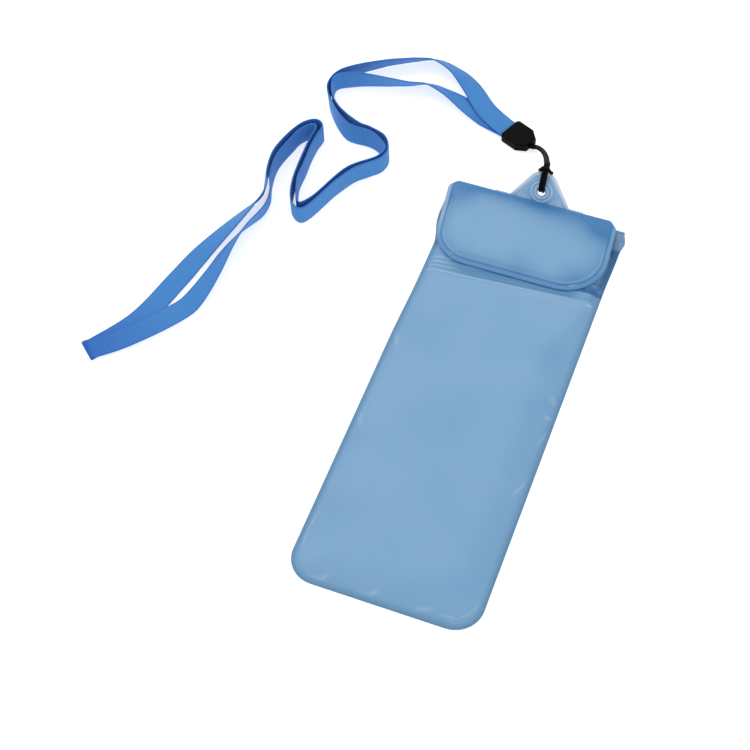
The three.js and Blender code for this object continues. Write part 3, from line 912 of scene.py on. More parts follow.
def across_row(left: float, right: float) -> list[float]:
    """Places across a sheet, closer together at its welds.

    Args:
        left: the sheet's left edge.
        right: its right edge.

    Returns:
        The places, from left to right.
    """
    last = EDGE_STEPS[-1]
    inner = np.linspace(left + last, right - last, INNER_COLUMNS + 2)[1:-1]
    first = [left + step for step in EDGE_STEPS]
    return [*first, *inner, *(right - step for step in reversed(EDGE_STEPS))]


def puffed(free: float, reach: float, step: float) -> float:
    """Share of a sheet's full puff at a place.

    Args:
        free: distance in from the weld.
        reach: distance in from the weld where the puff is full.
        step: share of the puff that rises at once beside the weld.

    Returns:
        A share from 0 to 1.
    """
    swell = math.sin(min(free / reach, 1) * math.pi / 2)
    return step * smooth(free, 0, STEP_WIDTH) + (1 - step) * swell


def flap_slant(x: float, down: float) -> float:
    """How far the flap's slant moves a place along the pouch."""
    return SIZES.flap_slant * (x / (SIZES.flap_width / 2)) * (down / SIZES.flap_drop)


def corner_rows(radius: float, count: int) -> list[float]:
    """Rows through a rounded end, closer together towards its tip."""
    return [radius * (1 - math.cos(i / count * math.pi / 2)) for i in range(count + 1)]


def zip_offset(x: float, y: float) -> float:
    """Distance up from the zip's centre line, which climbs to the right."""
    return y - SIZES.zip_centre - SIZES.zip_slant * x / (SIZES.body_width / 2)


@dataclass(frozen=True)
class FlapShadowStrip:
    """Painted shadow of the flap: a dark blue on the strip beside the flap and on the zip's end
    next to it.
    """

    side: Row = (45.0, 46.4)
    foot: Row = (213.0, 221.0)
    head: Row = (249.4, 250.4)
    share: float = 0.84
    full: Row = (232.0, 244.0)
    wedge_side: Row = (32.0, 37.0)
    wedge_foot: Row = (0.2, 1.2)
    wedge_head: Row = (3.4, 4.6)
    wedge_fade: float = 0.5

    def shade(self, x: float, y: float) -> float:
        """How much of the flap's painted shadow a place has.

        Args:
            x: place across the pouch.
            y: place along the pouch.

        Returns:
            A share from 0 to 1.
        """
        beside = smooth(x, *self.side) * smooth(y, *self.foot) * (1 - smooth(y, *self.head))
        # The wedge is the flap's painted shadow over the zip's right end.
        offset = zip_offset(x, y)
        wedge = smooth(x, *self.wedge_side) * smooth(offset, *self.wedge_foot)
        wedge *= 1 - self.wedge_fade * smooth(offset, *self.wedge_head)
        return max(beside * lerp(self.share, 1.0, smooth(y, *self.full)), self.share * wedge)


FLAP_SHADOW = FlapShadowStrip()


# Offset from the zip's centre line, half width and height of each ridge that it presses into
# the front film.
ZIP_RIDGES: tuple[Row, ...] = (
    (-5.8, 0.95, 0.42),
    (-3.4, 0.5, 0.14),
    (-2.3, 0.45, 0.12),
    (-0.2, 0.45, 0.12),
    (1.8, 0.6, 0.18),
    (4.6, 0.7, 0.2),
    (6.4, 0.5, 0.15),
)


@dataclass(frozen=True)
class Pucker:
    """A small crease of the film beside its weld."""

    x: float
    y: float
    heading: float
    length: float
    half_width: float
    rise: float

    def share(self, x: float, y: float) -> float:
        """How much of the crease's height a place has, from 0 to 1.

        Args:
            x: place across the pouch.
            y: place along the pouch.

        Returns:
            The share.
        """
        dx, dy = x - self.x, y - self.y
        if abs(dx) + abs(dy) > self.length + 3:
            return 0.0
        c, s = math.cos(math.radians(self.heading)), math.sin(math.radians(self.heading))
        along, aside = dx * c + dy * s, dy * c - dx * s
        return bell(along, 0, self.length / 2) * bell(aside, 0, self.half_width)


PUCKERS = (
    Pucker(-33.5, 3.5, 0, 7.0, 0.45, 0.25),
    Pucker(-29.2, 4.8, 42, 5.5, 0.8, 0.4),
    Pucker(-6.7, 3.8, 6, 6.5, 0.45, 0.25),
    Pucker(-3.1, 5.4, 50, 4.5, 0.8, 0.4),
    Pucker(22.0, 5.0, 20, 7.0, 1.0, 0.3),
    Pucker(36.0, 5.6, 6, 8.0, 0.4, 0.22),
    Pucker(42.2, 8.6, 40, 6.5, 0.4, 0.26),
    Pucker(45.3, 13.4, 64, 7.0, 0.4, 0.26),
    Pucker(-46.3, 32.0, 82, 11.0, 0.4, 0.2),
    Pucker(-46.4, 21.5, -85, 11.0, 0.4, 0.2),
    Pucker(45.7, 129.8, -17, 4.5, 1.0, 0.4),
    Pucker(45.2, 141.0, -58, 5.0, 0.9, 0.3),
    Pucker(46.9, 116.5, 82, 8.0, 0.5, 0.25),
    Pucker(45.0, 84.0, 70, 9.0, 0.7, 0.2),
    Pucker(-45.6, 96.0, -70, 8.0, 0.8, 0.2),
    Pucker(-45.4, 150.0, -62, 8.0, 0.8, 0.2),
)


@dataclass(frozen=True)
class Blotch:
    """A wide soft patch where the film looks a little bluer."""

    x: float
    y: float
    radius: float
    depth: float

    def share(self, x: float, y: float) -> float:
        """How much of the deeper blue a place has."""
        return self.depth * bell(math.hypot(x - self.x, y - self.y), 0, self.radius)


BLOTCHES = (
    Blotch(-36.0, 42.0, 13.0, 0.16),
    Blotch(-9.0, 104.0, 20.0, 0.11),
    Blotch(-36.0, 160.0, 17.0, 0.13),
    Blotch(36.0, 168.0, 10.0, 0.13),
    Blotch(40.0, 134.0, 9.0, 0.10),
    Blotch(30.0, 22.0, 9.0, 0.15),
    Blotch(-41.0, 86.0, 12.0, 0.10),
    Blotch(10.0, 62.0, 14.0, 0.05),
)


@dataclass(frozen=True)
class ZipTonesAndPaintedLight:
    """Bands and lines that the zip shows through the film, by their offset from its centre line,
    with the flap's painted shadow and painted highlights.
    """

    upper_share: float = 0.85
    upper_foot: Row = (-3.1, -2.3)
    upper_head: Row = (8.0, 9.5)
    lower_share: float = 0.6
    lower_foot: Row = (-5.5, -4.7)
    # Centre, half width and share of each line.
    dark_lines: tuple[Row, ...] = ((-3.9, 0.35, 0.25), (-0.4, 0.4, 0.15))
    left_dark: tuple[Row, ...] = ((2.5, 0.5, 0.3), (-0.5, 0.5, 0.3), (-3.2, 0.5, 0.3))
    left_pale: tuple[Row, ...] = ((4.1, 0.6, 1.0), (1.0, 0.7, 1.0), (-1.9, 0.4, 1.0))
    right_pale: tuple[Row, ...] = ((-0.5, 0.4, 0.45), (-2.2, 0.5, 0.2), (-3.5, 2.6, 0.12))
    ripple: float = 0.26
    ripple_rate: float = 4.6
    lean: float = 1.2
    dark_start: Row = (-48.0, -24.0)
    right_gap: Row = (33.0, 39.0)
    left_start: Row = (-48.0, -45.0)
    left_end: Row = (-38.0, -29.0)
    left_foot: Row = (-6.5, -5.0)
    left_head: Row = (7.0, 10.0)
    left_haze: float = 0.14
    right_start: Row = (35.0, 39.0)
    right_end: Row = (44.3, 45.2)
    ridge_at: float = -5.9
    ridge_half: float = 0.75
    ridge_fade: Row = (5.0, 38.0)
    haze_at: float = -8.6
    haze_share: float = 0.16
    # Place across, half width, offset, half width along and share of each small glint, a painted
    # highlight.
    glints: tuple[Row, ...] = ((45.2, 0.9, -7.1, 0.5, 2.4), (44.8, 2.0, 6.3, 0.4, 0.9))

    def lines(self, offset: float, table: Sequence[Row]) -> float:
        """Summed share of the lines of a table at an offset."""
        return sum(share * bell(offset, centre, half) for centre, half, share in table)

    def dark(self, x: float, offset: float, left: float) -> float:
        """Deeper share of the bands and lines, partly the zip's tint through the film and partly
        painted shadow of the flap's edge.

        Args:
            x: place across the pouch.
            offset: distance up from the zip's centre line.
            left: how much of the zip's left end a place has.

        Returns:
            The deeper share, without the film's own grain.
        """
        above = smooth(offset, *self.upper_foot)
        dark = self.upper_share * above * (1 - smooth(offset, *self.upper_head))
        dark += self.lower_share * (smooth(offset, *self.lower_foot) - above)
        dark += self.lines(offset, self.dark_lines)
        swing = offset * self.ripple_rate + 1.5 * soft_noise(x, offset * 3, 18.0, 2.0)
        dark *= 1 - self.ripple * (0.5 - 0.5 * math.sin(swing))
        start, full = self.dark_start
        dark *= smooth(x, start, full - self.lean * offset)
        dark *= 1 - 0.6 * smooth(x, *self.right_gap) * (1 - smooth(offset, 0, 1))
        return dark + left * self.lines(offset, self.left_dark)

    def pale(self, x: float, offset: float, left: float, grain: float) -> float:
        """Paler share of the bands and lines, with a painted highlight on the zip's lower ridge and
        painted glints.

        Args:
            x: place across the pouch.
            offset: distance up from the zip's centre line.
            left: how much of the zip's left end a place has.
            grain: streaky noise from 0 to 1.

        Returns:
            The paler share.
        """
        # A painted highlight along the zip's lower ridge.
        ridge = bell(offset, self.ridge_at - 0.012 * x, self.ridge_half)
        pale = ridge * (0.45 + 0.4 * grain) * (1 - 0.55 * smooth(x, *self.ridge_fade))
        pale += self.haze_share * bell(offset, self.haze_at, 2.0) * smooth(x, -20, 20)
        pale += left * (self.left_haze + grain * self.lines(offset, self.left_pale))
        right = smooth(x, *self.right_start) * (1 - smooth(x, *self.right_end))
        pale += right * self.lines(offset, self.right_pale)
        for across, half, at, along_half, share in self.glints:
            pale += share * bell(x, across, half) * bell(offset, at, along_half)
        return pale

    def shares(self, x: float, y: float) -> tuple[float, float]:
        """Deeper and paler share of what the zip shows through the film, with the flap's painted
        shadow and painted highlights.

        Args:
            x: place across the pouch.
            y: place along the pouch.

        Returns:
            The deeper share and the paler share.
        """
        offset = zip_offset(x, y)
        grain = 0.5 + 0.5 * soft_noise(x, offset * 14, 22.0, 9.0)
        start, end = (place - self.lean * offset for place in self.left_end)
        left = (1 - smooth(x, start, end)) * smooth(x, *self.left_start)
        left *= smooth(offset, *self.left_foot) * (1 - smooth(offset, *self.left_head))
        return self.dark(x, offset, left) * (0.85 + 0.3 * grain), self.pale(x, offset, left, grain)


ZIP_TONES_AND_LIGHT = ZipTonesAndPaintedLight()


@dataclass
class FrontFilm:
    """The front sheet, welded on three sides and puffed a little between them."""

    drawing: Drawing
    finish: bpy.types.Material
    puff_reach: float = 20.0
    zip_reach: float = 5.0
    weld_step: float = 0.18
    corner_lines: int = 16
    body_lines: int = 92
    ridged_lines: int = 90
    lip_lines: int = 14
    ridged_below: float = 14.0
    ridged_above: float = 12.0
    flat_start: float = 40.0
    flat_full: float = 8.0
    # Height, patch size and pattern number of each layer of soft waves.
    waves: tuple[Row, ...] = ((0.36, 42.0, 1.7), (0.12, 17.0, 4.2))
    pucker: float = 0.1
    rounded: float = 0.2
    weld_tone: float = 0.85
    weld_highlight: float = 0.38
    beside_tone: float = 0.16
    beside_fade: float = 3.0
    zip_tone_and_shade: float = 1.2
    zip_grey_and_shade: float = 0.65
    pucker_highlight: float = 0.75
    tone_start: Row = (1.8, 4.0)

    def rows(self) -> list[float]:
        """Places along the sheet.

        Returns:
            The places, from the closed end to the mouth.
        """
        low, high = SIZES.zip_centre - self.ridged_below, SIZES.zip_centre + self.ridged_above
        body = np.linspace(SIZES.body_corner, low, self.body_lines)[1:-1]
        ridged = np.linspace(low, high, self.ridged_lines)
        lip = np.linspace(high, SIZES.mouth, self.lip_lines)[1:]
        return corner_rows(SIZES.body_corner, self.corner_lines) + [*body, *ridged, *lip]

    def puff(self, x: float, y: float, rim: float) -> float:
        """How far the film is puffed up at a place.

        Args:
            x: place across the pouch.
            y: place along the pouch.
            rim: distance from the rim.

        Returns:
            The height over the weld.
        """
        near_zip = smooth(y, SIZES.zip_centre - self.flat_start, SIZES.zip_centre - self.flat_full)
        gap = lerp(SIZES.body_gap, SIZES.zip_gap, near_zip)
        reach = lerp(self.puff_reach, self.zip_reach, near_zip)
        free = max(rim - SIZES.weld, 0.0)
        wave = sum(height * soft_noise(x, y, size, layer) for height, size, layer in self.waves)
        crease = self.pucker * soft_noise(x * 1.6, y * 1.6, 11.0, 8.1)
        puff = gap * puffed(free, reach, self.weld_step)
        puff += wave * smooth(free, 2, 16) * (1 - 0.7 * near_zip)
        puff += crease * smooth(free, 0.3, 2.0) * (1 - smooth(free, 4, 12))
        return puff + sum(p.rise * p.share(x, y) for p in PUCKERS) * smooth(rim, 1.6, 2.8)

    def height(self, x: float, y: float) -> tuple[float, float]:
        """Outer height and distance from the rim at a place.

        Args:
            x: place across the pouch.
            y: place along the pouch.

        Returns:
            The height and the distance.
        """
        left, right = neck_sides(y)
        side = min(x - left, right - x)
        rim = rim_distance(side, y, SIZES.body_corner)
        offset = zip_offset(x, y)
        ridge = 0.0
        for centre, half, rise in ZIP_RIDGES:
            ridge = max(ridge, rise * max(1 - ((offset - centre) / half) ** 2, 0.0))
        rounded = self.rounded * (1 - smooth(rim, 0, 0.5))
        return 2 * SIZES.film - rounded + self.puff(x, y, rim) + ridge * smooth(side, 1.6, 4.5), rim

    def tones(self, x: float, y: float, rim: float) -> Row:
        """Shares of the film's tones at a place.

        Args:
            x: place across the pouch.
            y: place along the pouch.
            rim: distance from the rim.

        Returns:
            The deeper share with the flap's painted shadow in the zip's bands, the paler share with
            painted highlights, the share of the flap's painted shadow beside it and the weld's
            share with the zip's bands.
        """
        beside = self.beside_tone * math.exp(-max(rim - SIZES.weld, 0) / self.beside_fade)
        inside = smooth(rim, *self.tone_start)
        dark, pale = (share * inside for share in ZIP_TONES_AND_LIGHT.shares(x, y))
        deeper = beside + sum(b.share(x, y) for b in BLOTCHES) + self.zip_tone_and_shade * dark
        grain = 0.55 + 0.45 * soft_noise(x, y, 26.0, 5.0)
        # Painted highlights along the step inside the weld and on the creases.
        line = self.weld_highlight * bell(rim, SIZES.weld + 0.5, 0.35) * grain
        paler = pale + line + self.pucker_highlight * sum(p.share(x, y) for p in PUCKERS)
        weld = self.weld_tone * (1 - smooth(rim, SIZES.weld - 1.5, SIZES.weld + 0.2))
        return deeper, paler, FLAP_SHADOW.shade(x, y), max(weld, self.zip_grey_and_shade * dark)

    def build(self) -> bpy.types.Object:
        """Make the film.

        Returns:
            The film's object.
        """
        rows = self.rows()
        outer, inner, tones = [], [], []
        for y in rows:
            left, right = neck_sides(y)
            inset = corner_inset(y, SIZES.body_corner)
            for x in across_row(left + inset, right - inset):
                z, rim = self.height(x, y)
                outer.append((x, y, z))
                inner.append((x, y, z - SIZES.film + SHEET_SLACK))
                tones.append(self.tones(x, y, rim))
        faces = sheet_faces(len(rows), len(outer) // len(rows))
        points = self.drawing.place(outer + inner)
        piece = new_piece("front_film_sheet", points, faces, self.finish)
        for name, values in zip(("rim", "streak", "shade", "edge"), zip(*tones)):
            store(piece, name, values * 2)
        settle(piece, "film", "front_film")
        return piece


def flap_droop(rim: float, down: float) -> float:
    """How far the flap's rim hangs down towards the front film."""
    near_rim = 1 - smooth(rim, 0.0, SIZES.droop_reach)
    return SIZES.droop * near_rim * smooth(down, *SIZES.droop_start)


@dataclass
class RearFilm:
    """The rear sheet, folded over the mouth as the outside of the flap."""

    drawing: Drawing
    finish: bpy.types.Material
    puff_reach: float = 15.0
    top_reach: float = 12.0
    weld_step: float = 0.2
    corner_lines: int = 14
    body_lines: int = 120
    fold_lines: int = 26
    flap_lines: int = 34
    end_lines: int = 30
    wave: float = 0.3
    rounded: float = 0.12
    rear_tone: float = 0.3
    weld_band: Row = (1.6, 2.3)
    line_tone: float = 0.95
    beside_fade: float = 3.6
    fold_shade: float = 1.1
    corner_shade: float = 0.7
    ear_side: Row = (45.6, 46.6)
    ear_foot: Row = (249.6, 250.6)
    ear_pale: float = 0.62
    ear_dark: float = 0.35
    fold_shine: float = 0.71

    def rows(self) -> list[float]:
        """Places along the unfolded sheet.

        Returns:
            The places, from the closed end to the flap's lower edge.
        """
        body = np.linspace(SIZES.body_corner, SIZES.fold_line, self.body_lines)[1:-1]
        fold = list(np.linspace(SIZES.fold_line, SIZES.flap_start, self.fold_lines))
        fold = sorted(fold + [SIZES.ear_end - 0.01, SIZES.ear_end + 0.12])
        radius = max(SIZES.flap_corner_left, SIZES.flap_corner_right)
        flap = np.linspace(SIZES.flap_start, SIZES.sheet_length - radius, self.flap_lines)[1:-1]
        end = [SIZES.sheet_length - step for step in reversed(corner_rows(radius, self.end_lines))]
        return corner_rows(SIZES.body_corner, self.corner_lines) + [*body, *fold, *flap, *end]

    def rim(self, along: float, x: float) -> float:
        """Distance from the sheet's rim.

        Args:
            along: place along the unfolded sheet.
            x: place across it.

        Returns:
            The distance.
        """
        if along < SIZES.fold_line:
            left, right = neck_sides(along)
            return rim_distance(min(x - left, right - x), along, SIZES.body_corner)
        left, right = flap_sides(along)
        end = SIZES.sheet_length - along
        return min(
            rim_distance(x - left, end, SIZES.flap_corner_left),
            rim_distance(right - x, end, SIZES.flap_corner_right),
        )

    def rise(self, along: float, x: float) -> float:
        """How far the flap's outside is puffed up.

        Args:
            along: place along the unfolded sheet.
            x: place across it.

        Returns:
            The height over the flap's weld.
        """
        down = along - SIZES.flap_start
        if down <= 0:
            return 0.0
        free = max(self.rim(along, x) - SIZES.weld, 0.0)
        sides = puffed(free, self.puff_reach, self.weld_step)
        top = math.sin(min(down / self.top_reach, 1.0) * math.pi / 2)
        wave = self.wave * soft_noise(x, along, 24.0, 3.3) * smooth(free, 2, 12)
        return (SIZES.flap_puff * sides + wave) * top

    def point(self, along: float, x: float, side: Side) -> Row:
        """Place on the folded sheet.

        Args:
            along: place along the unfolded sheet.
            x: place across it.
            side: which face of the sheet.

        Returns:
            The place in the drawing frame.
        """
        lift = side.value * SIZES.film
        edge = self.rounded * (1 - smooth(self.rim(along, x), 0, 0.5)) * side.value
        if along <= SIZES.fold_line:
            return x, along, SIZES.film - lift
        ceiling = SIZES.film + 2 * SIZES.fold_inner
        if along <= SIZES.flap_start:
            turn = (along - SIZES.fold_line) / SIZES.fold_arc * math.pi
            radius = SIZES.fold_inner + lift + 0.12 * soft_noise(x, 0, 16.0, 6.0)
            middle = SIZES.film + SIZES.fold_inner
            return x, SIZES.fold_line + radius * math.sin(turn), middle - radius * math.cos(turn)
        down = along - SIZES.flap_start
        rise = self.rise(along, x) - flap_droop(self.rim(along, x), down)
        return x, SIZES.fold_line - down + flap_slant(x, down), ceiling + lift - edge + rise

    def ear_tones(self, along: float, x: float) -> tuple[float, float]:
        """Deeper and paler share of the rear sheet below the fold, with its pale ear.

        Args:
            along: place along the unfolded sheet.
            x: place across it.

        Returns:
            The deeper share and the paler share.
        """
        ear = smooth(x, *self.ear_side) * smooth(along, *self.ear_foot)
        edge = min(bell(x, 51.3, 0.5) + bell(x, 48.2, 0.35) + bell(along, 256.0, 0.5), 1)
        deeper = self.rear_tone * (1 - ear) + self.ear_dark * ear * edge
        return deeper, self.ear_pale * ear * (1 - 0.5 * edge)

    def tones(self, along: float, x: float) -> tuple[float, float]:
        """Deeper and paler share of the sheet at a place, with painted shade at the fold and at the
        flap's puffed edges and corners, and painted highlights.

        Args:
            along: place along the unfolded sheet.
            x: place across it.

        Returns:
            The deeper share and the paler share.
        """
        if along < SIZES.fold_line:
            return self.ear_tones(along, x)
        rim = self.rim(along, x)
        down = max(along - SIZES.flap_start, 0.0)
        end = SIZES.sheet_length - along
        left, right = flap_sides(along)
        patch = 0.5 + 0.5 * soft_noise(x, along, 20.0, 7.7)
        inside = smooth(rim, *self.weld_band)
        band = (0.42 + 0.42 * smooth(down, 20, 45)) * (1 - inside)
        line = self.line_tone * bell(rim, SIZES.weld + 0.15, 0.55)
        # Painted shade where the flap's puff falls to its weld, and below the fold.
        beside = (0.35 + 0.55 * patch) * math.exp(-max(rim - SIZES.weld, 0) / self.beside_fade)
        fold = self.fold_shade * math.exp(-((down / (6.0 + 6.0 * smooth(x, -25, 35))) ** 1.4))
        # Distance across, distance along, radius and share of each patch of painted shade where the
        # flap's puff falls to its corners and lower edge.
        patches = (
            (x - left - 9, down - 9, 9.0, 0.9),
            (right - 7 - x, down - 8, 8.5, 0.95),
            (right - 17 - x, end - 10, 8.5, 0.42),
            (x - 2, end - 7, 9.0, 0.35),
        )
        corners = sum(share * bell(math.hypot(dx, dy), 0, size) for dx, dy, size, share in patches)
        # Painted highlights inside the flap's weld and along the top of the fold, and paler edges.
        shine = SIZES.fold_line + self.fold_shine * SIZES.fold_arc
        pale = 0.75 * bell(rim, SIZES.weld + 1.2, 0.4) * (1 - smooth(end, 30, 44))
        pale *= 0.4 + 0.6 * patch
        pale += 0.5 * bell(along, shine, 0.6) + 0.12 * bell(rim, 1.2, 0.6)
        pale += 0.6 * (1 - smooth(x - left, 1.4, 2.2)) * smooth(end, 10, 26)
        return max(band, (max(line, beside, fold) + corners * self.corner_shade) * inside), pale

    def build(self) -> bpy.types.Object:
        """Make the sheet.

        Returns:
            The sheet's object.
        """
        rows = self.rows()
        outer, inner, tones = [], [], []
        for along in rows:
            neck = along < SIZES.fold_line + 0.25 * SIZES.fold_arc
            for x in reversed(across_row(*sheet_edges(along))):
                outer.append(self.point(along, x, Side.OUTER))
                inner.append(self.point(along, x, Side.INNER))
                tones.append((*self.tones(along, x), FLAP_SHADOW.shade(x, along) if neck else 0.0))
        faces = sheet_faces(len(rows), len(outer) // len(rows))
        points = self.drawing.place(outer + inner)
        piece = new_piece("rear_film_and_flap", points, faces, self.finish)
        for name, values in zip(("rim", "streak", "shade"), zip(*tones)):
            store(piece, name, values * 2)
        settle(piece, "film", "back_film")
        return piece


@dataclass
class FlapLining:
    """The inner sheet of the flap, welded to its rim."""

    drawing: Drawing
    finish: bpy.types.Material
    start: float = 4.0
    bow: float = 0.15
    weld_tone: float = 0.5
    plain_tone: float = 0.15
    flap_lines: int = 24

    def build(self) -> bpy.types.Object:
        """Make the lining.

        Returns:
            The lining's object.
        """
        radius = max(SIZES.flap_corner_left, SIZES.flap_corner_right)
        first = SIZES.flap_start + self.start
        end = reversed(corner_rows(radius, self.flap_lines))
        rows = [*np.linspace(first, SIZES.sheet_length - radius, self.flap_lines)[:-1]]
        rows += [SIZES.sheet_length - step for step in end]
        top, bottom, rims = [], [], []
        for along in rows:
            left, right = sheet_edges(along)
            for x in reversed(across_row(left, right)):
                down = along - SIZES.flap_start
                rim = min(x - left, right - x, SIZES.sheet_length - along)
                sag = abs(self.bow * smooth(rim, 2, 9) * soft_noise(x, along, 12.0, 2.0))
                y = SIZES.fold_line - down + flap_slant(x, down)
                z = SIZES.film + 2 * SIZES.fold_inner - SHEET_SLACK - sag - flap_droop(rim, down)
                top.append((x, y, z))
                bottom.append((x, y, z - SIZES.film + SHEET_SLACK))
                rims.append(self.weld_tone * (1 - smooth(rim, 2.2, 3.2)) + self.plain_tone)
        faces = sheet_faces(len(rows), len(top) // len(rows))
        piece = new_piece("flap_lining_sheet", self.drawing.place(top + bottom), faces, self.finish)
        store(piece, "rim", rims * 2)
        settle(piece, "film", "flap_lining")
        return piece


Loop = list[bmesh.types.BMVert]


class LoopMesh:
    """A mesh of closed loops of points, which are joined in pairs and carry how pale they are, with
    a painted highlight towards the right.
    """

    # glint is a painted highlight that makes the loops paler towards the tab's right.
    glint: float = 0.3
    glint_side: Row = (3.0, 9.0)

    def __init__(self) -> None:
        """Start an empty mesh."""
        self.shape = bmesh.new()
        self.rim_layer = self.shape.verts.layers.float.new("rim")

    def loop(self, points: Sequence[tuple[float, float]], z: float, pale: float) -> Loop:
        """One closed loop of points at a height.

        Args:
            points: the loop's points.
            z: its height.
            pale: how pale it is.

        Returns:
            The loop's points in the mesh.
        """
        made = [self.shape.verts.new((x, y, z)) for x, y in points]
        for vert in made:
            vert[self.rim_layer] = pale * (1 + self.glint * smooth(vert.co.x, *self.glint_side))
        for a, b in zip(made, made[1:] + made[:1]):
            if self.shape.edges.get((a, b)) is None:
                self.shape.edges.new((a, b))
        return made

    def bridge(self, a: Loop, b: Loop) -> None:
        """Join two loops that have as many points.

        Args:
            a: the first loop.
            b: the second loop.
        """
        for i in range(len(a)):
            j = (i + 1) % len(a)
            self.shape.faces.new((a[i], a[j], b[j], b[i]))

    def fill(self, outer: Loop, inner: Loop) -> None:
        """Fill the flat between two loops.

        Args:
            outer: the outer loop.
            inner: the loop of the hole in it.
        """
        ends = {*outer, *inner}
        flat = [edge for edge in self.shape.edges if ends.issuperset(edge.verts)]
        bmesh.ops.triangle_fill(self.shape, edges=flat, use_beauty=True)

    def piece(
        self, name: str, place: Matrix, drawing: Drawing, finish: bpy.types.Material
    ) -> bpy.types.Object:
        """The finished piece.

        Args:
            name: the piece's name.
            place: its place in the drawing frame.
            drawing: the drawing frame.
            finish: its material.

        Returns:
            The object.
        """
        bmesh.ops.recalc_face_normals(self.shape, faces=self.shape.faces)
        for face in self.shape.faces:
            face.smooth = True
        self.shape.transform(place)
        mesh = bpy.data.meshes.new(name)
        self.shape.to_mesh(mesh)
        self.shape.free()
        points = np.array([v.co[:] for v in mesh.vertices])
        mesh.vertices.foreach_set("co", drawing.place(points).ravel())
        mesh.materials.append(finish)
        piece = bpy.data.objects.new(name, mesh)
        bpy.context.scene.collection.objects.link(piece)
        return piece


@dataclass
class HangTab:
    """The clear moulded tab with a raised rim and two rings round its hole."""

    drawing: Drawing
    finish: bpy.types.Material
    centre: float = -2.1
    tilt: float = math.radians(60.0)
    seat: float = 3.7
    thickness: float = 0.8
    flange_half: float = 26.0
    flange: float = 2.3
    base_half: float = 17.4
    length: float = 20.2
    tip_radius: float = 9.5
    foot_inset: float = 0.9
    side_ease: float = 0.35
    rim_rise: float = 0.35
    chamfer: float = 0.1
    hole_at: float = 7.9
    ring_points: int = 40
    flat_pale: float = 0.35
    ring_pale: float = 0.75
    # Distance in from the outline, and share of the rim's rise there.
    rim_loops: tuple[Row, ...] = (
        (0, 0.3), (0.12, 0.75), (0.4, 1), (1.6, 1), (1.95, 0.7), (2.2, 0.1), (2.5, 0),
    )
    # Radius about the hole, and share of the rim's rise there.
    ring_loops: tuple[Row, ...] = (
        (6.9, 0), (6.5, 0.2), (6.25, 0.85), (5.95, 1), (5.65, 0.85), (5.4, 0.1), (4.6, 0),
        (4.3, 0.2), (4.1, 0.9), (3.75, 1), (3.4, 0.85), (3.1, 0.05), (2.5, 0), (2.25, -0.4),
    )

    def outline(self, inset: float) -> list[tuple[float, float]]:
        """The tab's outline in its own plane, drawn in evenly.

        Args:
            inset: how far it is drawn in.

        Returns:
            The outline's points.
        """
        tip = self.length - self.tip_radius
        radius = self.tip_radius - inset
        foot = min(inset, self.foot_inset)
        wide, shelf = self.flange_half - inset, self.flange - foot
        fall = tip - self.flange
        turn = math.acos(self.tip_radius / math.hypot(self.base_half, fall))
        turn -= math.atan2(fall, self.base_half)
        half = [(t * wide / 12, foot) for t in range(1, 13)]
        half += [(wide, shelf)]
        side = self.base_half - inset + self.side_ease * inset
        half += [(lerp(wide, side, t / 5), shelf) for t in range(1, 6)]
        touch = (radius * math.cos(turn), tip + radius * math.sin(turn))
        half += [(lerp(side, touch[0], t / 9), lerp(shelf, touch[1], t / 9)) for t in range(1, 9)]
        for t in range(13):
            angle = lerp(turn, math.pi / 2, t / 12)
            half.append((radius * math.cos(angle), tip + radius * math.sin(angle)))
        mirrored = [(-x, y) for x, y in reversed(half[:-1])]
        return [(0.0, foot), *half, *mirrored]

    def ring(self, radius: float) -> list[tuple[float, float]]:
        """A circle of points about the hole."""
        turns = np.linspace(0, 2 * math.pi, self.ring_points, endpoint=False)
        return [(radius * math.cos(a), self.hole_at + radius * math.sin(a)) for a in turns]

    def face(self, mesh: LoopMesh, side: int) -> tuple[Loop, Loop]:
        """One face of the tab, from its rim over the flat to the rings and the hole.

        Args:
            mesh: the mesh that the face is made in.
            side: 1 for the front and -1 for the back.

        Returns:
            The outermost loop and the loop round the hole.
        """
        half = self.thickness / 2
        rims, rings = [], []
        for inset, share in self.rim_loops:
            chamfer = self.chamfer if inset == 0 else 0
            z = side * (half + self.rim_rise * share - chamfer)
            rims.append(mesh.loop(self.outline(inset), z, lerp(self.flat_pale, 1.0, share)))
            if len(rims) > 1:
                mesh.bridge(rims[-2], rims[-1])
        for radius, share in self.ring_loops:
            z = side * (half + self.rim_rise * share)
            rings.append(mesh.loop(self.ring(radius), z, self.ring_pale * max(share, 0)))
            if len(rings) > 1:
                mesh.bridge(rings[-2], rings[-1])
            else:
                mesh.fill(rims[-1], rings[0])
        return rims[0], rings[-1]

    def build(self) -> bpy.types.Object:
        """Make the tab from both faces, joined at its rim and hole, and stand it on the fold.

        Returns:
            The tab's object.
        """
        mesh = LoopMesh()
        (front_rim, front_bore), (back_rim, back_bore) = (self.face(mesh, side) for side in (1, -1))
        mesh.bridge(front_rim, back_rim)
        mesh.bridge(front_bore, back_bore)
        seat = Vector(
            (
                self.centre,
                SIZES.fold_line + self.seat * math.sin(self.tilt),
                SIZES.film + SIZES.fold_inner - self.seat * math.cos(self.tilt),
            )
        )
        place = Matrix.Translation(seat) @ Matrix.Rotation(self.tilt, 4, "X")
        piece = mesh.piece("clear_hanging_tab", place, self.drawing, self.finish)
        settle(piece, "tab", "hang_tab")
        return piece


# ---- cords


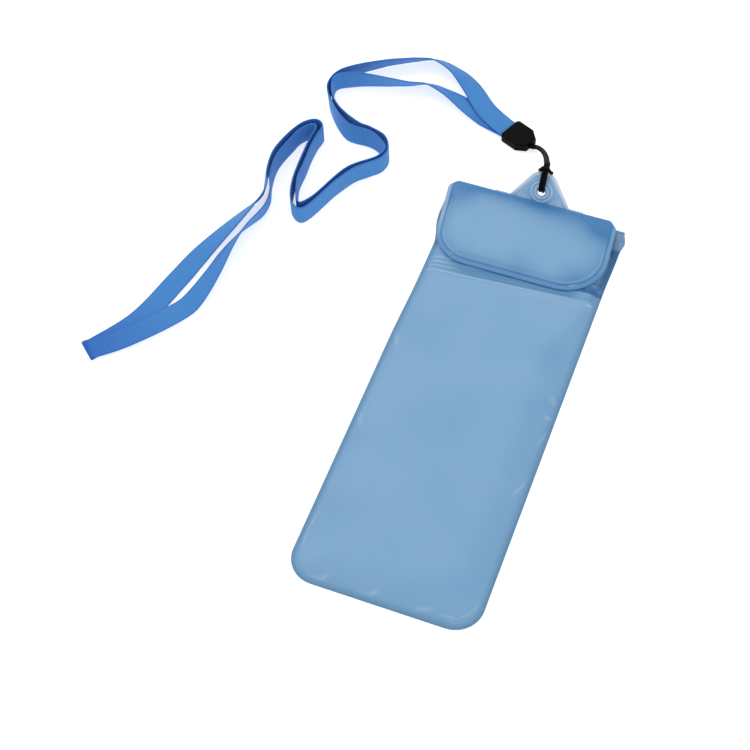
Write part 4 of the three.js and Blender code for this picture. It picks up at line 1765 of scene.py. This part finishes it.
def catmull(points: Grid, t: float) -> Grid:
    """Centripetal curve through the points.

    Args:
        points: the route's points.
        t: place from 0 at the first point to 1 at the last.

    Returns:
        The point there.
    """
    count = len(points)
    place = min(t, 1.0) * (count - 1)
    i = min(int(place), count - 2)
    w = place - i
    p1, p2 = points[i], points[i + 1]
    p0 = points[i - 1] if i > 0 else 2 * p1 - p2
    p3 = points[i + 2] if i + 2 < count else 2 * p2 - p1
    spans = ((p0, p1), (p1, p2), (p2, p3))
    d0, d1, d2 = (max(np.linalg.norm(b - a), 1e-8) ** 0.5 for a, b in spans)
    m1 = ((p1 - p0) / d0 - (p2 - p0) / (d0 + d1) + (p2 - p1) / d1) * d1
    m2 = ((p2 - p1) / d1 - (p3 - p1) / (d1 + d2) + (p3 - p2) / d2) * d1
    a = 2 * p1 - 2 * p2 + m1 + m2
    b = -3 * p1 + 3 * p2 - 2 * m1 - m2
    return a * w**3 + b * w**2 + m1 * w + p1


def travelled(points: Grid) -> Grid:
    """Length travelled along a line, at each of its points."""
    return np.r_[0, np.cumsum(np.linalg.norm(np.diff(points, axis=0), axis=1))]


def line_length(points: Grid) -> float:
    """Length of a line through points."""
    return float(np.linalg.norm(np.diff(points, axis=0), axis=1).sum())


def unit(rows: Grid) -> Grid:
    """The same rows of a table, each of length 1."""
    return rows / np.linalg.norm(rows, axis=1)[:, None]


def sweep(points: Grid, sides: Grid, ups: Grid, section: Grid) -> tuple[Grid, Faces]:
    """A closed tube of one section along a line.

    Args:
        points: the line's points.
        sides: the section's first direction at each point.
        ups: its second direction at each point.
        section: the section's places on the two directions.

    Returns:
        The tube's points and faces.
    """
    across, up = section[None, :, :1], section[None, :, 1:]
    made = points[:, None] + sides[:, None] * across + ups[:, None] * up
    count = len(section)
    faces: Faces = []
    for i in range(len(points) - 1):
        for j in range(count):
            a, b = i * count + j, i * count + (j + 1) % count
            faces.append((a, b, b + count, a + count))
    faces.append(tuple(range(count - 1, -1, -1)))
    faces.append(tuple((len(points) - 1) * count + j for j in range(count)))
    return made.reshape(-1, 3), faces


# Lift of a stretch of ribbon that rests on the floor.
REST_LIFT = 0.2


class Strand(Enum):
    """The ribbon's two strands, in rows of x, y, lean in degrees from flat, and lift off the floor.

    A row without a lift rests on the floor.
    """

    OVER = (
        (-28.2, 309.9, 0, 2.6), (-32.8, 312, 0, 2.6), (-37.3, 314, 0, 2.6), (-47, 320, 0, 1.7),
        (-54, 325, 3, 1.5), (-68.5, 339.5, 16, 0.3), (-80.5, 347, 36), (-94, 350.5, 45),
        (-105.5, 346, 55), (-114, 341.5, 59), (-121.5, 337, 63), (-144.1, 317.2, 80),
        (-145.3, 303.5, 96), (-136.4, 289, 88), (-123, 277.5, 80), (-117, 276.5, 80),
        (-110, 276.5, 82), (-103.5, 274.5, 86), (-95.9, 268, 90), (-97.4, 261, 90),
        (-111, 247, 90), (-122.5, 219, 90), (-127, 213.5, 90), (-129, 214.5, 90), (-133, 223, 90),
        (-135.5, 231.5, 90), (-136, 242, 90), (-137, 254, 90), (-137, 263, 90), (-136.5, 272, 90),
        (-141, 275, 90), (-148, 270.5, 90), (-156, 246.5, 90), (-154.5, 228.5, 82),
        (-152, 221, 74), (-152.5, 213.5, 64), (-155, 207, 54), (-169, 168.5, 10),
        (-174, 149.5, 2), (-183.2, 115.8, 0), (-200, 88, 0),
    )
    UNDER = (
        (-28.2, 309.9, 0, 1.4), (-32.8, 312, 0, 1.4), (-37.3, 314, 0, 1.4), (-51.5, 318.5, 2),
        (-63.5, 323, 12), (-78.5, 328, 35), (-91.5, 330, 46), (-102, 326, 56), (-113.5, 323, 67),
        (-135, 317.5, 90), (-144, 311.5, 92), (-142, 301, 94), (-134, 290, 90), (-117, 281, 90),
        (-110, 280, 90), (-99, 276, 90), (-94.2, 267.5, 90), (-95.4, 260.2, 90), (-101, 254, 90),
        (-107, 248, 90), (-113.5, 236, 90), (-125, 209.5, 90), (-131, 212, 90),
        (-136.5, 224.5, 90), (-139.5, 254.5, 90), (-139.5, 263, 90), (-140, 270.5, 90),
        (-142.5, 271, 90), (-148, 264.5, 90), (-150, 257.5, 90), (-153, 241.5, 90),
        (-151, 227.5, 90), (-146.8, 216, 85), (-146.4, 206, 78), (-152.4, 189, 62),
        (-155.2, 175, 48), (-156.8, 157.5, 30), (-159, 143, 14), (-161.5, 134, 4),
        (-166.5, 124.5, 1, 1.4), (-186, 100.5, 0, 1.5), (-200, 88, 0, 1.5),
    )

    @property
    def rows(self) -> Grid:
        """The strand's rows, each with its lift."""
        return np.array([(*row, REST_LIFT)[:4] for row in self.value], float)


@dataclass
class Ribbon:
    """The flat ribbon: an upper and a lower strand that meet at the far crease."""

    drawing: Drawing
    finish: bpy.types.Material
    width: float = 13.0
    thickness: float = 0.9
    pitch: float = 1.6
    rib: float = 0.1
    rib_power: float = 0.7
    rib_level: float = 0.6
    step: float = 0.4
    soften: int = 25
    # Share of a strand's route at the clamp's mouth, and where it starts to turn into the crease.
    exit_share: float = 0.018
    turn_start: float = 0.985
    crease_heading: tuple[float, float] = (-0.645, -0.764)
    deepest: float = 0.6
    close: float = 2.0
    close_fade: float = 6.0
    # Share and reach of each shade at the crease.
    crease_shades: tuple[Row, ...] = ((0.45, 3.2), (0.5, 50.0))
    # Share of the half width, share of the half thickness and share of the ribs' height.
    half_section: tuple[Row, ...] = (
        (-1.0, 0.35, 0), (-0.975, 0.85, 0), (-0.93, 1, 0), (-0.86, 1, 0.6), (-0.72, 1, 1),
        (-0.48, 1, 1), (-0.24, 1, 1), (0, 1, 1), (0.24, 1, 1), (0.48, 1, 1), (0.72, 1, 1),
        (0.86, 1, 0.6), (0.93, 1, 0), (0.975, 0.85, 0), (1.0, 0.35, 0),
    )

    def centre_height(self, lean: float, lift: float) -> float:
        """Height of the section's middle above the floor."""
        return (self.width * abs(math.sin(lean)) + self.thickness * abs(math.cos(lean))) / 2 + lift

    def softened(self, values: Grid) -> Grid:
        """The same values along the ribbon, without sudden changes."""
        window = np.hanning(self.soften)
        return np.convolve(np.pad(values, self.soften // 2, "edge"), window / window.sum(), "valid")

    def lay(self, strand: Strand) -> tuple[Grid, Grid]:
        """Points along a strand and the direction of the ribbon's width at each.

        Args:
            strand: the strand.

        Returns:
            The points and the directions.
        """
        rows = strand.rows
        flat = np.c_[rows[:, :2], np.zeros(len(rows))]
        count = int(line_length(flat) / self.step)
        t = np.linspace(0, 1, count)
        points = np.array([catmull(flat, float(v)) for v in t])
        places = t * (len(rows) - 1)
        lean = self.softened(np.radians(np.interp(places, range(len(rows)), rows[:, 2])))
        lift = self.softened(np.interp(places, range(len(rows)), rows[:, 3]))
        points[:, 2] = [self.centre_height(a, b) for a, b in zip(lean, lift)]
        fade = np.clip((t - self.turn_start) / (1 - self.turn_start), 0, 1)[:, None]
        heading = unit(np.gradient(points[:, :2], axis=0))
        heading = unit(heading * (1 - fade) + np.array(self.crease_heading) * fade)
        left = np.c_[-heading[:, 1], heading[:, 0], np.zeros(count)]
        return points, left * np.cos(lean)[:, None] + np.array(UP) * np.sin(lean)[:, None]

    def with_crease(
        self, points: Grid, sides: Grid, upward: float, radius: float
    ) -> tuple[Grid, Grid]:
        """Add this strand's half of the crease to its end.

        Args:
            points: the strand's points.
            sides: its width's directions.
            upward: 1 where this half turns up and -1 where it turns down.
            radius: radius of the crease.

        Returns:
            The longer points and directions.
        """
        end = points[-1]
        heading = np.array([*self.crease_heading, 0.0])
        turns = np.linspace(0, math.pi / 2, 6)[1:]
        rise = np.array(UP) * upward * radius
        extra = [end + heading * radius * math.sin(a) + rise * (1 - math.cos(a)) for a in turns]
        more = np.repeat(sides[-1:], len(extra), axis=0)
        return np.vstack([points, extra]), np.vstack([sides, more])

    def section(self) -> list[Row]:
        """The whole section: across, up and rib share.

        Returns:
            The section's points.
        """
        half, thick = self.width / 2, self.thickness / 2
        top = [(u * half, v * thick, r) for u, v, r in self.half_section]
        return top + [(x, -y, r) for x, y, r in reversed(top)]

    def rib_tree(self) -> GeometryTree:
        """The rule that raises the woven ribs across the ribbon.

        Returns:
            The tree.
        """
        tree = GeometryTree("woven_ribs")
        pitch, height = tree.named("Rib Pitch"), tree.named("Rib Height")
        material = tree.named("Finish", "NodeSocketMaterial")
        turn = tree.math("MULTIPLY", tree.math("DIVIDE", tree.attribute("along"), pitch), math.pi)
        wave = tree.math("POWER", tree.math("ABSOLUTE", tree.math("SINE", turn)), self.rib_power)
        raised = tree.math("MULTIPLY", tree.math("SUBTRACT", wave, self.rib_level), height)
        rise = tree.math("MULTIPLY", raised, tree.attribute("rib"))
        normal = tree.node("GeometryNodeInputNormal")
        offset = tree.node("ShaderNodeVectorMath", {"operation": "SCALE"}, i0=normal, Scale=rise)
        shape = tree.entry.outputs[0]
        moved = tree.node("GeometryNodeSetPosition", None, Geometry=shape, Offset=offset)
        tree.finish(moved, material)
        return tree

    def facing_shade(self, points: Grid, ups: Grid, others: Grid) -> tuple[Grid, Grid]:
        """How dark each face is where it looks at the other strand close by.

        Args:
            points: this strand's points.
            ups: the direction of its upper face at each point.
            others: the other strand's points.

        Returns:
            The shade of the upper and of the lower face, as columns.
        """
        away = others[None, ::2] - points[:, None]
        nearest = np.linalg.norm(away, axis=2).argmin(axis=1)
        gap = away[np.arange(len(points)), nearest]
        distance = np.linalg.norm(gap, axis=1)
        towards = (gap * ups).sum(axis=1) / np.maximum(distance, 1e-6)
        shade = self.deepest * np.clip(1 - (distance - self.close) / self.close_fade, 0, 1)
        top, bottom = (shade * np.clip(way * towards * 2, 0, 1) for way in (1, -1))
        return top[:, None], bottom[:, None]

    def shade(self, strand: Strand, points: Grid, ups: Grid, upper: Grid) -> Grid:
        """How dark each point of a strand is, at the crease and beside the other strand.

        Args:
            strand: the strand.
            points: its points.
            ups: the direction of its upper face at each point.
            upper: which points of the section are on its upper face.

        Returns:
            One row of shades for each point along the strand.
        """
        way = travelled(points)
        left = way[-1] - way
        crease = sum(share * np.clip(1 - left / reach, 0, 1) for share, reach in self.crease_shades)
        other = Strand.UNDER if strand is Strand.OVER else Strand.OVER
        top, bottom = self.facing_shade(points, ups, self.lay(other)[0])
        return np.maximum(np.where(upper, top, bottom), crease[:, None])

    def strand(self, name: str, strand: Strand, tree: GeometryTree) -> bpy.types.Object:
        """Args:
            name: the piece's name.
            strand: which strand it is.
            tree: the rule that raises its ribs.

        Returns:
            The strand's object.
        """
        points, sides = self.lay(strand)
        gap = abs(Strand.UNDER.rows[-1, 3] - Strand.OVER.rows[-1, 3]) / 2
        upward = 1.0 if strand is Strand.OVER else -1.0
        points, sides = self.with_crease(points, sides, upward, gap)
        tangents = unit(np.gradient(points, axis=0))
        sides = unit(sides - tangents * (sides * tangents).sum(axis=1)[:, None])
        ups = np.cross(sides, -tangents)
        across, up, ribs = np.array(self.section()).T
        made, faces = sweep(points, sides, ups, np.c_[across, up])
        piece = new_piece(name, self.drawing.place(made), faces, self.finish)
        store(piece, "along", np.repeat(travelled(points), len(across)))
        store(piece, "across", np.tile(across, len(points)))
        store(piece, "rib", np.tile(ribs, len(points)))
        store(piece, "shade", self.shade(strand, points, ups, up > 0))
        self.outward(piece)
        values = {"Rib Pitch": self.pitch, "Rib Height": self.rib * MM, "Finish": self.finish}
        tree.apply(piece, values)
        settle(piece, "ribbon", "lanyard_ribbon")
        path = self.drawing.place(points[::4])
        length = line_length(self.drawing.place(points))
        LOG.info("%s is %.0f mm long", name, length / MM)
        return piece

    def outward(self, piece: bpy.types.Object) -> None:
        """Turn the piece's faces outwards.

        Args:
            piece: the piece.
        """
        shape = bmesh.new()
        shape.from_mesh(piece.data)
        bmesh.ops.recalc_face_normals(shape, faces=shape.faces)
        shape.to_mesh(piece.data)
        shape.free()

    def build(self) -> list[bpy.types.Object]:
        """Make both strands.

        Returns:
            The two objects.
        """
        tree = self.rib_tree()
        return [
            self.strand("ribbon_upper_strand", Strand.OVER, tree),
            self.strand("ribbon_lower_strand", Strand.UNDER, tree),
        ]


@dataclass
class LoopCord:
    """The thin black cord: out of the clamp, in a lark's head knot through the tab, and back."""

    drawing: Drawing
    finish: bpy.types.Material
    tab: HangTab
    diameter: float = 1.7
    fuzz: float = 0.16
    step: float = 0.35
    sides_round: int = 14
    run_left: tuple[Row, ...] = (
        (-25.4, 307.6, 2.45), (-22.7, 306.4, 2.45), (-18.6, 304.6, 2.5), (-15.4, 302.9, 5.2),
        (-10.8, 298.0, 9.0), (-6.6, 289.5, 14.4), (-4.7, 283.2, 18.7), (-3.4, 279.2, 21.5),
    )
    run_right: tuple[Row, ...] = (
        (-24.6, 309.4, 2.45), (-21.8, 308.2, 2.45), (-17.7, 306.4, 2.5), (-14.4, 304.3, 4.6),
        (-10.0, 299.6, 7.8), (-5.4, 290.5, 13.6), (-3.2, 283.9, 18.1), (-1.6, 279.4, 21.4),
    )

    def knot_leg(self) -> list[Row]:
        """One leg of the knot in the tab's own frame.

        Returns:
            The leg's points: across, up the tab and out of its face.
        """
        leg = (self.diameter + self.fuzz) / 2
        face = self.tab.thickness / 2 + self.tab.rim_rise + self.diameter / 2 + 0.25
        tip, hole = self.tab.length, self.tab.hole_at
        return [
            (leg, tip + 3.2, 0.7), (leg, tip + 1.0, face), (leg, hole + 3.2, face),
            (leg, hole + 1.1, face - 0.8), (leg, hole + 0.6, 0), (leg, hole + 1.1, 0.8 - face),
            (leg, hole + 3.2, -face), (leg + 1.0, hole + 7.0, -face),
            (leg + 2.1, tip - 1.4, 0.1 - face), (leg + 2.6, tip + 0.2, 0),
            (leg + 1.75, tip + 1.2, 1.7), (leg + 0.7, tip + 2.7, 2.5),
        ]

    def route(self) -> Grid:
        """The whole route in the drawing frame.

        Returns:
            The route's points.
        """
        c, s = math.cos(self.tab.tilt), math.sin(self.tab.tilt)
        y0 = SIZES.fold_line + self.tab.seat * s
        z0 = SIZES.film + SIZES.fold_inner - self.tab.seat * c

        def on_tab(point: Row, mirror: float) -> Row:
            """A place of the tab's frame in the drawing frame."""
            a, b, h = point
            return self.tab.centre + mirror * a, y0 + b * c - h * s, z0 + b * s + h * c

        leg = self.knot_leg()
        bight = on_tab((0, self.tab.length + 3.3, 2.6), 1)
        left = [on_tab(p, -1) for p in leg]
        right = [on_tab(p, 1) for p in reversed(leg)]
        return np.array([*self.run_left, *left, bight, *right, *reversed(self.run_right)])

    def build(self) -> bpy.types.Object:
        """Make the cord.

        Returns:
            The cord's object.
        """
        route = self.route()
        count = int(line_length(route) / self.step)
        points = np.array([catmull(route, v) for v in np.linspace(0, 1, count)])
        tangents = unit(np.gradient(points, axis=0))
        side = np.array(UP)
        sides = np.empty_like(points)
        for row, tangent in enumerate(tangents):
            side = side - tangent * side.dot(tangent)
            side /= np.linalg.norm(side)
            sides[row] = side
        angles = np.linspace(0, 2 * math.pi, self.sides_round, endpoint=False)
        section = np.c_[np.cos(angles), np.sin(angles)] * (self.diameter + self.fuzz) / 2
        made, faces = sweep(points, sides, np.cross(tangents, sides), section)
        piece = new_piece("black_loop_cord", self.drawing.place(made), faces, self.finish)
        store(piece, "along", np.repeat(travelled(points), self.sides_round))
        store(piece, "around", np.tile(angles, len(points)))
        settle(piece, "cord", "loop_cord")
        path = self.drawing.place(points[::3])
        length = line_length(self.drawing.place(points))
        LOG.info("black_loop_cord is %.0f mm long", length / MM)
        return piece


# ---- camera, light and floor


@dataclass(frozen=True)
class Lamp:
    """A square lamp: its place and size in metres and its power in watts."""

    name: str
    place: Row
    power: float
    size: float = 1.4


@dataclass
class Studio:
    """The camera at the photograph's angle, a pale floor and soft light."""

    drawing: Drawing
    elevation: float = math.radians(56.0)
    roll: float = math.radians(3.0)
    turn: float = math.radians(-23.27)
    distance: float = 864.14
    aim_x: float = -5.02
    aim_y: float = -134.97
    focal_pixels: float = 1625.5
    frame_pixels: float = 750.0
    sensor: float = 36.0
    near: float = 0.01
    far: float = 20.0
    floor_size: float = 30.0
    floor_drop: float = 0.0002
    sky: float = 0.8
    lit_point: Row = (-0.05, 0.03, 0.0)
    lamps: tuple[Lamp, ...] = (
        Lamp("key", (-0.68, 0.75, 1.3), 8.0),
        Lamp("fill", (0.9, -0.7, 1.2), 2.0),
    )

    def camera(self) -> bpy.types.Object:
        """Make the camera.

        Returns:
            The camera.
        """
        e = self.elevation
        eye = Vector((0, -self.distance * math.cos(e), self.distance * math.sin(e)))
        forward = -eye.normalized()
        right = Vector((1, 0, 0))
        down = forward.cross(right)
        c, s = math.cos(self.roll), math.sin(self.roll)
        right, down = right * c + down * s, down * c - right * s
        back = Matrix.Rotation(-self.turn, 3, "Z")
        axes = [back @ v for v in (right, -down, -forward)]
        place = back @ (eye - Vector((self.aim_x, self.aim_y, 0)))
        place = (place + self.drawing.offset) * MM
        data = bpy.data.cameras.new("camera")
        data.lens = self.focal_pixels * self.sensor / self.frame_pixels
        data.sensor_width = self.sensor
        data.clip_start, data.clip_end = self.near, self.far
        made = bpy.data.objects.new("camera", data)
        made.matrix_world = Matrix.Translation(place) @ Matrix(axes).transposed().to_4x4()
        bpy.context.scene.collection.objects.link(made)
        bpy.context.scene.camera = made
        return made

    def light(self, lamp: Lamp) -> None:
        """Make one soft square lamp that shines at the middle of the object.

        Args:
            lamp: the lamp's place, size and power.
        """
        data = bpy.data.lights.new(lamp.name, "AREA")
        data.shape = "SQUARE"
        data.size = lamp.size
        data.energy = lamp.power
        made = bpy.data.objects.new(lamp.name, data)
        made.location = lamp.place
        aim = Vector(self.lit_point) - Vector(lamp.place)
        made.rotation_euler = aim.to_track_quat("-Z", "Y").to_euler()
        bpy.context.scene.collection.objects.link(made)

    def build(self) -> None:
        """Make the floor and the light."""
        half = self.floor_size / 2
        low = -self.floor_drop
        corners = [(-half, -half, low), (half, -half, low), (half, half, low), (-half, half, low)]
        floor = new_piece("floor", np.array(corners, float), [(0, 1, 2, 3)], FloorFinish().make())
        world = bpy.data.worlds.new("soft_white")
        world.use_nodes = True
        sky = world.node_tree.nodes["Background"]
        sky.inputs["Color"].default_value = (1.0, 1.0, 1.0, 1.0)
        sky.inputs["Strength"].default_value = self.sky
        bpy.context.scene.world = world
        for lamp in self.lamps:
            self.light(lamp)
        bpy.context.scene.view_settings.view_transform = "Standard"


def dress_nodes(finish: bpy.types.Material, *names: str) -> None:
    """Give carried-over rigid nodes their finish.

    Args:
        finish: the material.
        names: the nodes that take it.
    """
    for name in names:
        node = bpy.data.objects[name]
        node.data.materials.clear()
        node.data.materials.append(finish)
        LOG.info("%s takes the %s finish", name, finish.name)


def main() -> None:
    """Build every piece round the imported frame."""
    logging.basicConfig(level=logging.INFO, format="%(name)s: %(message)s")
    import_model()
    drawing = Drawing()
    studio = Studio(drawing)
    studio.camera()
    film = FilmFinish().make()
    clear = ClearFinish("clear_moulded_tab").make()
    tab = HangTab(drawing, clear)
    Ribbon(drawing, RibbonFinish().make()).build()
    LoopCord(drawing, CordFinish().make(), tab).build()
    studio.build()
    tab.build()
    FrontFilm(drawing, film).build()
    RearFilm(drawing, film).build()
    FlapLining(drawing, film).build()
    dress_nodes(ClearFinish("clear_zip_profile").make(), "zip_rib_strip", "zip_groove_strip")
    dress_nodes(TapeFinish().make(), "hook_strip", "loop_strip")
    dress_nodes(MouldedFinish().make(), "clamp_upper", "clamp_lower")


if __name__ == "__main__":
    main()
